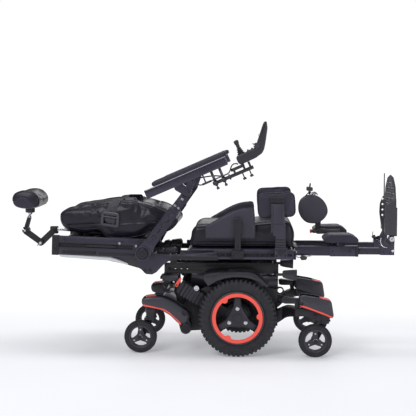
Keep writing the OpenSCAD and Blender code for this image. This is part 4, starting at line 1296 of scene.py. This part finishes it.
# Outline, depth in Y, stripe's line, cap's place and direction, bolts, swivel and height of its collar
COVERS = {
    "front": (
        [(282, 236), (281, 283), (294, 288), (356, 278), (421, 260), (432, 192), (424, 185), (392, 198),
         (360, 209), (322, 223)],
        (-312, -238), [(282, 239), (322, 225), (360, 211), (392, 199), (426, 184)],
        (394, -275, 267), (0.27, 0, 1), ((290, 250), (350, 190)), (395, -275), 180,
    ),
    "rear": (
        [(-441, 240), (-437, 257), (-402, 266), (-350, 263), (-318, 251), (-286, 235), (-250, 209),
         (-230, 198), (-222, 180), (-232, 150), (-258, 138), (-272, 144), (-308, 180), (-350, 205),
         (-391, 213), (-434, 221)],
        (-246, -170), [(-438, 223), (-391, 214), (-350, 206), (-308, 182), (-272, 146), (-266, 136)],
        (-402, -210, 264), (0.0, 0, 1), (), (-400, -215), 186,
    ),
}


def arm_cover(end, outline, depth, stripe, cap_at, cap_out, bolts, swivel, collar):
    node, body = end + "_arm_cover", end + "_arm"

    @twins(node + "_*_shell", body, COVER, [node], sharp=50)
    def shells(d, left):
        d.plate(outline, depth, 11, 12, steps=5, crown=2.5, rings=4)
        d.bm.normal_update()
        low, high = depth[0] + 8, depth[1] - 8
        under = [f for f in d.bm.faces if f.normal.z < -0.45 and low < f.calc_center_median().y / MM < high]
        bmesh.ops.delete(d.bm, geom=under, context="FACES")

    for shell in shells:
        wall = shell.modifiers.new("wall", "SOLIDIFY")
        wall.thickness = 3 * MM
        wall.offset = -1

    @twins(end + "_arm_stripe", body, CORAL)
    def stripes(d, left):
        d.plate(band(line_through(stripe), 0.5, 8.5), (depth[0] - 3.4, depth[0] + 14), 1.6, steps=2)
        d.disc([(25, -3), (25, 1.6), (23.4, 3.2), (12, 3.9), (0.5, 4.1)], *cap_at, 40, cap_out)

    @twins(end + "_arm_hardware", body, FRAME_BLACK)
    def hardware(d, left):
        for x, z in bolts:
            d.disc([(8.6, -2), (8.6, 2.4), (7.6, 3.4), (6.0, 3.4), (5.2, 1.6), (3.6, 1.4)],
                   x, depth[0] - 2, z, 28)
        d.disc([(24.7, -1), (26.6, -0.4), (26.8, 5), (25, 7), (24.7, 7.5)], *swivel, 165.5, 48, UP)
        d.disc([(24.7, 0), (27.4, 2), (28, 20), (24.7, 21)], *swivel, collar, 48, UP)
        if end == "rear":
            d.disc([(24, -3), (24.5, 3.5), (22, 5), (15, 5), (13.6, 3.4), (9, 3.2), (8, 5), (0.8, 5.2)],
                   -239, -236, 117, 40)
            d.disc([(14, -8), (14, 4), (12.4, 5.4), (7, 5.4), (5.6, 3.6), (0.8, 3.4)], -243, -247, 192, 32)


for end, shapes in COVERS.items():
    arm_cover(end, *shapes)

# Fender ridges and rim, ribs and ports of the motors

MOTOR = Matrix.Translation(at(-20, -187, 160)) @ Matrix.Rotation(math.radians(30.5), 4, "Y")


@twins("fender_trim", "base", SHROUD)
def fender_trim(d, left):
    for k in range(9):
        x, z = -138 + 9 * k, 377 + 1.3 * k
        d.plate([(x, z), (x + 5.5, z + 0.6), (x + 5.5, z + 5), (x, z + 4)], (-288, -182), 1.2, steps=2)
    rim = line_through([(-152, 372), (-110, 381), (-20, 388), (62, 386), (100, 364), (138, 325)])
    d.plate(band(rim, -7, 1.5), (-301, -296), 1.8, steps=2)
    inner = line_through([(-40, 391), (30, 391.5), (66, 388), (104, 365), (138, 329)])
    d.plate(band(inner, -1, 3), (-256, -212), 1.6, steps=2)
    d.screws(((-138, 366), (118, 338)), -299.5, 4.0, 2.6, 5.6)


@twins("motor_ribs", "base", HOUSING, place=MOTOR)
def motor_ribs(d, left):
    for k in range(14):
        x = -270 + 13 * k
        d.plate(box(x, x + 3, -27, 33.5), (-33.8, 33.8), 2.4, steps=2)
    d.plate([(-292, -24), (-286, -31), (-268, -31), (-268, 31), (-286, 31), (-292, 24)], (-33, 33), 8, 6)
    d.screws(((-279, -22), (-279, 22), (-60, -20), (-60, 22)), -33, 3.6, 3)


@twins("motor_fittings", "base", STEEL)
def motor_fittings(d, left):
    d.disc([(13, -6), (13, 2), (11.5, 3.5), (9.5, 3.5), (9, 1), (5, 0.6), (4.4, 3.2), (0.6, 3.4)],
           -190, -221, 303, 36)
    # Cylinder of the parking brake behind the fender
    d.disc([(22, 0), (25, 3), (25, 40), (23, 44), (23, 84), (25, 88), (25, 106), (21, 110)],
           60, -128, 366, 40, (1, 0, 0))


@single("rear_cowl", "base", ALLOY)
def rear_cowl(d):
    d.plate([(-296, 190), (-296, 224), (-318, 228), (-342, 242), (-351, 258), (-346, 270), (-300, 272),
             (-288, 262), (-284, 190)], (-138, 138), 6, 9)


# ---------------------------------------------------------------- straps and buckles

def laid_strap(name, tree, points, width, body, thick=2.2, lift=2.6, columns=7):
    """Webbing that follows a surface across its whole width."""
    path = resampled(on_surface(tree, points), 0.009)
    bm = bmesh.new()
    rows = []
    for i, point in enumerate(path):
        along = (path[min(len(path) - 1, i + 1)] - path[max(0, i - 1)]).normalized()
        across = along.cross(tree.find_nearest(point)[1]).normalized()
        low, high = [], []
        for k in range(columns):
            offset = width * (k / (columns - 1) - 0.5)
            spot, out, _, _ = tree.find_nearest(point + across * offset * MM)
            edge = 0.5 if k in (0, columns - 1) else 1.0
            low.append(bm.verts.new(spot + out * (lift - 2.6) * MM))
            high.append(bm.verts.new(spot + out * (lift + thick * edge) * MM))
        rows.append(low + high[::-1])
    faces_between(bm, rows)
    cap_ends(bm, rows)
    bmesh.ops.recalc_face_normals(bm, faces=bm.faces)
    new_object(name, bm, body, STRAP, sharp=50)


def frame_buckle(bm, place, half_width, half_height, bar, bars=(0,)):
    """Rectangular buckle drawn in place's XY: a round-cornered ring with cross bars."""
    up = place.to_3x3() @ Vector(UP)
    corners = rounded_rectangle(half_width - bar / 2, half_height - bar / 2, 7, 4)
    section = [(a * 1.25, b * 0.8) for a, b in circle(bar, 10)]
    sweep(bm, [place @ (Vector((x, y, 0)) * MM) for x, y in corners], section, up, closed=True)
    for y in bars:
        ends = [place @ (Vector((x, y, 0.6)) * MM) for x in (-half_width + bar, 0, half_width - bar)]
        sweep(bm, ends, circle(bar * 0.8, 10), up)


CHEST = [(-592, -196, 598), (-588, -198, 640), (-578, -192, 676), (-562, -172, 702), (-548, -140, 712),
         (-536, -96, 700), (-526, -50, 690), (-520, 0, 686)]
chest_points = [at(x, y, z) for x, y, z in CHEST] + [at(x, -y, z) for x, y, z in CHEST[-2::-1]]
laid_strap("chest_strap", back_tree, chest_points, 46, "back_shell")


@twins("ladder_buckle", "back_shell", COVER)
def ladder_buckle(d, left):
    spot, out, _, _ = back_tree.find_nearest(at(-591, -215, 617))
    place = facing(spot + out * 7.5 * MM, out)
    turn = place.to_3x3().inverted() @ Vector((0.12, 0, 1))
    place = place @ Matrix.Rotation(math.atan2(-turn.x, turn.y), 4, "Z")
    frame_buckle(d.bm, place, 40, 31, 5.8, (12,))


buckle_at = back_tree.find_nearest(at(-514, -112, 730))[0] + Vector((0, -4, 11)) * MM
METAL_BUCKLE = facing(buckle_at, (0, -0.62, 0.78))


@twins("metal_buckle", "back_shell", HOUSING)
def metal_buckle(d, left):
    frame_buckle(d.bm, METAL_BUCKLE, 32, 17, 3.6, (2,))


@twins("buckle_tongue", "back_shell", PLASTIC, place=METAL_BUCKLE @ Matrix.Rotation(math.pi / 2, 4, "X"))
def buckle_tongue(d, left):
    d.plate(rounded_rectangle(24, 13, 4), (-1.6, 4.4), 1.6)


for sign, side in SIDES:
    loop = [on_back(at(x, sign * 190, z)) for x, z in flat_curve(BACK_OUTLINE, 4)]
    piping("back_piping_" + side, back_tree, loop, "back_shell", VINYL, 2.8)

# Knee pad's strap, buckle and adjusting knob


@single("knee_strap", "knee_pad", STRAP)
def knee_strap(d):
    strap = [at(x, 0, z) for x, z in ((318, 716), (326, 724), (334, 732), (338, 744), (338, 756))]
    sweep(d.bm, strap, strap_section(36, 2.4), (-0.6, 0, 0.8))


@single("knee_buckle", "knee_pad", PLASTIC)
def knee_buckle(d):
    frame_buckle(d.bm, facing(at(339, 0, 752), (-1, 0, 0.12), math.pi / 2), 24, 12, 4.2)
    d.plate([(324, 743), (353, 741), (354, 758), (325, 762)], (-20, 20), 3, 4)


@single("knee_fittings", "knee_pad", STEEL)
def knee_fittings(d):
    for x, z, y, r in ((352, 726, -18, 6.5), (366, 727, 6, 5.5), (343, 731, 12, 4.5)):
        knob = [(r * 0.6, -8), (r * 0.6, 0), (r, 1), (r, 6), (r * 0.7, 8), (0.6, 8.4)]
        d.disc(knob, x, y, z, 24, (0.25, -0.2, 1))
    d.tube([(346, -26, 724), (352, -20, 734), (362, -8, 736), (372, 8, 730), (378, 20, 722)], 3, 10, UP)


# ---------------------------------------------------------------- back, seat and armrest hardware

BACK_PLACE = (Matrix.Translation(RECLINE) @ Matrix.Rotation(BACK_RISE, 4, "Y")
              @ Matrix.Translation(-Vector((-432, 0, 470)) * MM))


@twins("back_rail_trim", "back", FRAME_BLACK, place=BACK_PLACE)
def back_rail_trim(d, left):
    d.plate([(-858, 441), (-858, 529), (-852, 533), (-826, 533), (-826, 441)], (-236, -211.4), 2.4, 3)
    d.disc([(11, 0), (11, 3), (9.5, 4.6), (6, 4.6), (5, 2.6), (0.8, 2.4)], -842, -236, 474, 32)
    # Raised lips along the slot and the carriage that slides in it
    for z in (480, 499):
        d.plate(box(-824, -486, z - 1.6, z + 1.6), (-235, -232), 0.8, steps=2)
    d.plate(box(-700, -560, 484, 495), (-236.5, -226), 1.6, 3)
    d.plate(box(-640, -470, 449, 462), (-236, -232), 1.4, 3, steps=2)
    for spots, y in ((((-690, 489.5), (-570, 489.5)), -236.5), (((-530, 515), (-800, 515)), -233),
                     (((-842, 512),), -236)):
        d.screws(spots, y, 4.2, 3)


@twins("back_rail_pins", "back", ALLOY, place=BACK_PLACE)
def back_rail_pins(d, left):
    for x, z in ((-545, 506), (-468, 497), (-448, 449)):
        d.disc([(6.5, -1), (6.5, 2.5), (5, 4), (2.6, 4), (2.2, 2), (0.5, 2)], x, -233, z, 24)


@twins("recline_boss", "armrest_post", RAIL)
def recline_boss(d, left):
    d.disc([(33.5, -3), (35, 0), (35, 2.2), (33, 4), (28, 4), (26.4, 1.6), (24, 1.2)], -432, -277, 470, 56)


@twins("recline_knob", "seat", FRAME_BLACK)
def recline_knob(d, left):
    d.disc([(22.8, -4), (22.8, 1), (21, 3.2), (15, 3.6), (13.8, 2.2), (8, 2.2), (7, 4), (0.8, 4.2)],
           -432, -285, 470, 48)


# Bright strip painted as the glint along the shell's lower edge, panel and ribs outside it, channel in the
# rail painted near-black as its shade

SHELL_LINE = line_through([(-828, 441), (-812, 429), (-700, 426), (-600, 423), (-552, 414), (-505, 405)])
PANEL_LINE = [point for point in SHELL_LINE if -800 < point[0] < -560]


# Bright steel strips on both sides, painted as the glint along the shell's lower edge.
@single("shell_liner", "back_shell", STEEL, place=BACK_PLACE)
def shell_liner(d):
    for y in ((-210.5, -206.3), (206.3, 210.5)):
        d.plate(SHELL_LINE + [(-505, 413), (-552, 431), (-590, 442), (-826, 443)], y, 1.2, steps=2)


@single("shell_panel", "back_shell", PLASTIC, place=BACK_PLACE)
def shell_panel(d):
    d.plate(band(PANEL_LINE, -2.6, 3.0), (-142, 142), 1.4, steps=2)
    for y in (-166, 158):
        d.plate(band(PANEL_LINE, -5.2, 3.0), (y, y + 8), 1.8, steps=2)


@single("shell_screws", "back_shell", FRAME_BLACK, place=BACK_PLACE)
def shell_screws(d):
    down = BACK_PLACE.to_3x3() @ Vector((0, 0, -1))
    for x, z in ((-786, 428), (-690, 425.8), (-580, 418.8)):
        for y in (-184, -110, 110, 184):
            d.screws(((x, z - (2.6 if abs(y) < 142 else 0)),), y, 5, 3.6, 7.2, down)


# A near-black plate painted as the shade in the channel of the rail under the shell.
@twins("shell_rail", "back", RECESS_SHADE, place=BACK_PLACE)
def shell_rail(d, left):
    d.plate(box(-808, -652, 450, 465), (-234.8, -232), 1.2, 3, steps=2)
    d.screws(((-800, 457.5), (-730, 457.5), (-660, 457.5)), -234.4, 3.4, 2.6)


@twins("junction_blocks", "seat", PLASTIC)
def junction_blocks(d, left):
    d.plate([(-374, 460), (-374, 478), (-352, 484), (-340, 478), (-340, 458)], (-203, -150), 4, 5)
    d.plate([(-338, 460), (-338, 484), (-290, 490), (-282, 478), (-282, 460)], (-205, -160), 4, 5)
    for k in range(4):
        d.disc([(4.5, 0), (5, 1), (5, 7), (4, 8), (2.5, 10)], -366 + 8 * k, -198, 469, 18)
        d.plate(box(-332 + 12 * k, -324 + 12 * k, 466, 478), (-208, -204), 1.2, steps=2)


# Rail caps and slot lips
@twins("seat_rail_trim", "seat", FRAME_BLACK)
def seat_rail_trim(d, left):
    d.plate([(259, 439), (259, 481), (266, 479), (266, 441)], (-243, -212), 2, 2)
    for z in (451.5, 468.5):
        d.plate(box(-96, 166, z - 1.4, z + 1.4), (-237.6, -234.5), 0.7, steps=2)
    d.screws(((-84, 460), (-56, 460), (100, 460), (146, 460), (232, 460)), -236, 4.4, 3, 6)
    for x, z in ((-150, 447), (-200, 447), (-262, 448)):
        d.disc([(5.5, -1), (5.5, 2), (4, 3), (0.5, 3.2)], x, -236, z, 24)
    for x, z in ((-440, 452), (-400, 388), (-425, 384)):
        d.disc([(7, -1), (7, 2), (5.6, 3.2), (3, 3.2), (2.4, 1.6), (0.5, 1.6)], x, -247, z, 24)


# Rounded control: body, hood and its side boss, then the stick's bellows and knob

ARM_UP = ARM_FRAME.to_3x3() @ Vector(UP)


@single("control_shell", "joystick", HOUSING, ["joystick_module"], ARM_FRAME, 45)
def control_shell(d):
    d.plate([(440, 12), (448, 20), (530, 20), (548, 34), (606, 100), (618, 112), (630, 110), (622, 80),
             (592, 30), (572, 0), (556, -14), (520, -22), (448, -24), (440, -12)], (-308, -242), 7, 7,
            steps=5, crown=2)


@single("control_buttons", "joystick", PLASTIC, place=ARM_FRAME)
def control_buttons(d):
    for y, out in ((-308, OUT), (-242, (0, 1, 0))):
        d.disc([(13.5, -2), (14, 3), (12.5, 5), (9, 5), (8, 3.4), (0.8, 3.2)], 546, y, 26, 36, out)
        d.disc([(3.2, 0), (3.2, 1.6), (1.8, 1.6), (1.6, 0.8), (0.4, 0.8)], 460, y * 1.001, -14, 16, out)
    for s, y in ((500, -296), (500, -254), (524, -296), (524, -254)):
        d.disc([(4.6, 0), (4.6, 2.4), (3.6, 3.4), (0.5, 3.6)], s, y, 19.5, 22, ARM_UP)


@single("control_studs", "joystick", STEEL, place=ARM_FRAME)
def control_studs(d):
    for s, n, y in ((575, 61, -300), (536, 36, -312)):
        d.disc([(2.2, -6), (2.2, 2), (4, 3), (4, 7), (2.6, 8.6), (0.4, 8.8)], s, y, n, 20, ARM_UP)


@single("stick_bellows", "joystick_stick", GRIP, place=ARM_FRAME)
def stick_bellows(d):
    d.disc([(15, 20.5), (17.5, 22), (18, 24), (12, 27), (11.5, 28.5), (15.4, 30.5), (15.6, 32.5), (10.5, 35.2),
            (10, 36.6), (13.2, 38.6), (13.4, 40.4), (8.8, 43), (8.4, 44.4), (11, 46.4), (11, 48), (7, 50.5),
            (7.4, 55)], 468, -275, 0, 36, ARM_UP)
    d.disc([(7, 54), (8.4, 56), (8.2, 66), (9.6, 70), (11.4, 75), (11.4, 80), (9.6, 84), (4, 86), (0.6, 86.2)],
           468, -275, 0, 32, ARM_UP)


# Legrest fittings: hinge bosses, heel screws, the release knob and bright clips


@twins("leg_tube_trim", "legrest", FRAME_BLACK)
def leg_tube_trim(d, left):
    end = 515 if left else 545
    d.disc([(19, -2), (20, 1.4), (18, 3.2), (11, 3.2), (10, 1.4), (0.8, 1.2)], 268, -144, 468, 40)
    d.plate(box(end, end + 14, 443, 493), (-143.5, -96.5), 2.2, 3)
    d.screws(((440, 468), (end - 25, 468)), -141, 4.2, 3)


@twins("heel_fittings", "leg_slide", PLASTIC)
def heel_fittings(d, left):
    d.screws(((674, 464), (674, 488), (704, 460)), -142, 3.8, 3)
    d.plate([(664, 487), (664, 503), (690, 514), (700, 500), (694, 486)], (-146, -141), 1.4, 4, steps=2)
    d.disc([(4, 0), (4, 9), (8.5, 10), (9.5, 13), (9.5, 19), (7.5, 22), (0.8, 22.4)],
           668, -120, 497, 28, (-0.5, 0, 1))


@twins("heel_clips", "leg_slide", STEEL)
def heel_clips(d, left):
    d.tube([(x, -148, z) for x, z in ((661, 533), (659, 515), (663, 500), (672, 491), (690, 487))], 2.2)
    d.disc([(12, -2), (12, 2), (10.4, 3.4), (5, 3.4), (4.4, 2), (0.5, 2)], 712, -142, 526, 30)
    d.disc([(6, 0), (6, 4), (4.5, 5), (0.5, 5.2)], 716, -142, 472, 24)


# Release lever under the knee
@twins("release_wire", "seat", STEEL)
def release_wire(d, left):
    wire = ((262, 482), (256, 470), (262, 455), (276, 442), (300, 441), (322, 446), (346, 451))
    d.tube([(x, -162, z) for x, z in wire], 2.4)
    d.disc([(6, -4), (6.6, 0), (6.6, 6), (4.4, 8), (0.5, 8.2)], 266, -160, 468, 24)


@twins("release_grip", "seat", PLASTIC)
def release_grip(d, left):
    d.plate([(286, 440), (294, 428), (316, 430), (322, 440), (312, 449), (292, 450)], (-166, -158), 2, 4)


# Thigh supports: recessed plate with its slot, screws and ribs of the clamp
@twins("thigh_fittings", "thigh_support", FRAME_BLACK)
def thigh_fittings(d, left):
    d.plate([(147, 697.5), (147, 722), (152, 726.5), (206, 726.5), (211, 721), (211, 697.5)],
            (-260.4, -247), 2.2, 4)
    d.screws(((158, 718), (200, 718), (158, 703), (200, 703)), -260.2, 3.4, 2.6)
    for z in (508, 520, 532):
        d.plate(box(173, 215, z, z + 4), (-272, -269), 1, steps=2)
    d.screws(((176, 462), (216, 462), (176, 488), (216, 488)), -274, 4.4, 3.4)
    d.disc([(9, 0), (12, 1), (13, 5), (13, 15), (11, 18), (0.8, 18.6)], 196, -274, 475, 12)


# The slot is a near-black plate painted as the shade inside it.
@twins("thigh_slot", "thigh_support", RECESS_SHADE)
def thigh_slot(d, left):
    d.plate(box(164, 194, 703, 718), (-261.4, -259), 0.9, 5)


# Two ribs down the curved face of the bracket, in a paler grey painted as its highlight stripes
@twins("thigh_ribs", "thigh_support", PANEL)
def thigh_ribs(d, left):
    for x in (158, 203):
        y = -172.4 - math.sqrt(98 ** 2 - (x - 181) ** 2)
        d.tube([(x, y, z) for z in (570, 612, 654, 692)], 3.4, 10, (1, 0, 0))


# Headrest: knurled sleeve, clamp levers and joint caps

STEM = Vector((-12, 0, -48)).normalized()
KNURL = [(9.4, 3), (8.6, 4), (8.6, 5), (9.4, 6)]


@single("headrest_sleeve", "headrest_link", FRAME_BLACK)
def headrest_sleeve(d):
    knurls = [(radius, height + 5 * k) for k in range(9) for radius, height in KNURL]
    d.disc([(6, 0), (9.4, 1), *knurls, (8.4, 50), (6, 51)], -1024.5, 0, 566, 28, -STEM)
    d.disc([(15, -18), (17.4, -16), (17.4, 16), (15, 18)], -1030, 0, 548, 36, (0, 1, 0))
    d.disc([(13, -21), (14.6, -19.6), (14.6, 19.6), (13, 21)], -957, 0, 487, 36, (0, 1, 0))


@single("headrest_levers", "headrest_link", STEEL)
def headrest_levers(d):
    d.disc([(4, -6), (6.5, -5), (6.5, 2), (4.5, 6), (3, 8)], -1011.5, 0, 618, 24, -STEM)
    for y in (-24, 20):
        d.tube([(x, y, z) for x, z in ((-1030, 548), (-1040, 554), (-1050, 557), (-1057, 556))], 3)
    d.tube([(-957, -24, 487), (-966, -24, 478), (-974, -24, 474)], 2.6)
    d.disc([(6, -26), (7, -25), (7, -20), (7, 20), (7, 25), (6, 26)], -957, 0, 487, 24, (0, 1, 0))


# Armrest posts: near-black plates painted as the shade in slots and holes, paler strips painted as edge
# highlights, and the bolts of the upper joint

POST_FOOT = Vector((-432, 470))
POST_AXIS = (Vector((-228.9, 747.8)) - POST_FOOT).normalized()
POST_ACROSS = Vector((-POST_AXIS.y, POST_AXIS.x))


def on_post(along, across):
    return tuple(POST_FOOT + POST_AXIS * along + POST_ACROSS * across)


def post_slot(d, along, across, length, width, depth):
    outline = box(along - length / 2, along + length / 2, across - width / 2, across + width / 2)
    d.plate([on_post(*corner) for corner in outline], (depth, -275.5), 0.5, 2.6, steps=2)


# Near-black plates painted as the shade in the post's slots and holes.
@twins("post_slots", "armrest_post", RECESS_SHADE)
def post_slots(d, left):
    for slot in ((92, 9, 20, 7), (92, -8, 7, 7), (126, 0, 26, 6.5), (160, 7, 20, 6.5), (190, -6, 22, 6.5),
                 (214, 8, 16, 6)):
        post_slot(d, *slot, -278.2)


# Paler strips painted as highlights along both edges of the post, and one across it near the upper joint.
@twins("post_beads", "armrest_post", RAIL)
def post_beads(d, left):
    for across in (-22, 21.5):
        post_slot(d, 140, across, 176, 3.2, -278.6)
    post_slot(d, 231, 0, 5, 44, -279.2)


@twins("post_bolts", "armrest_post", ALLOY)
def post_bolts(d, left):
    d.screws([on_post(262, 9), on_post(262, -9), on_post(306, 0)], -273.2, 5, 3.6, 6.4)
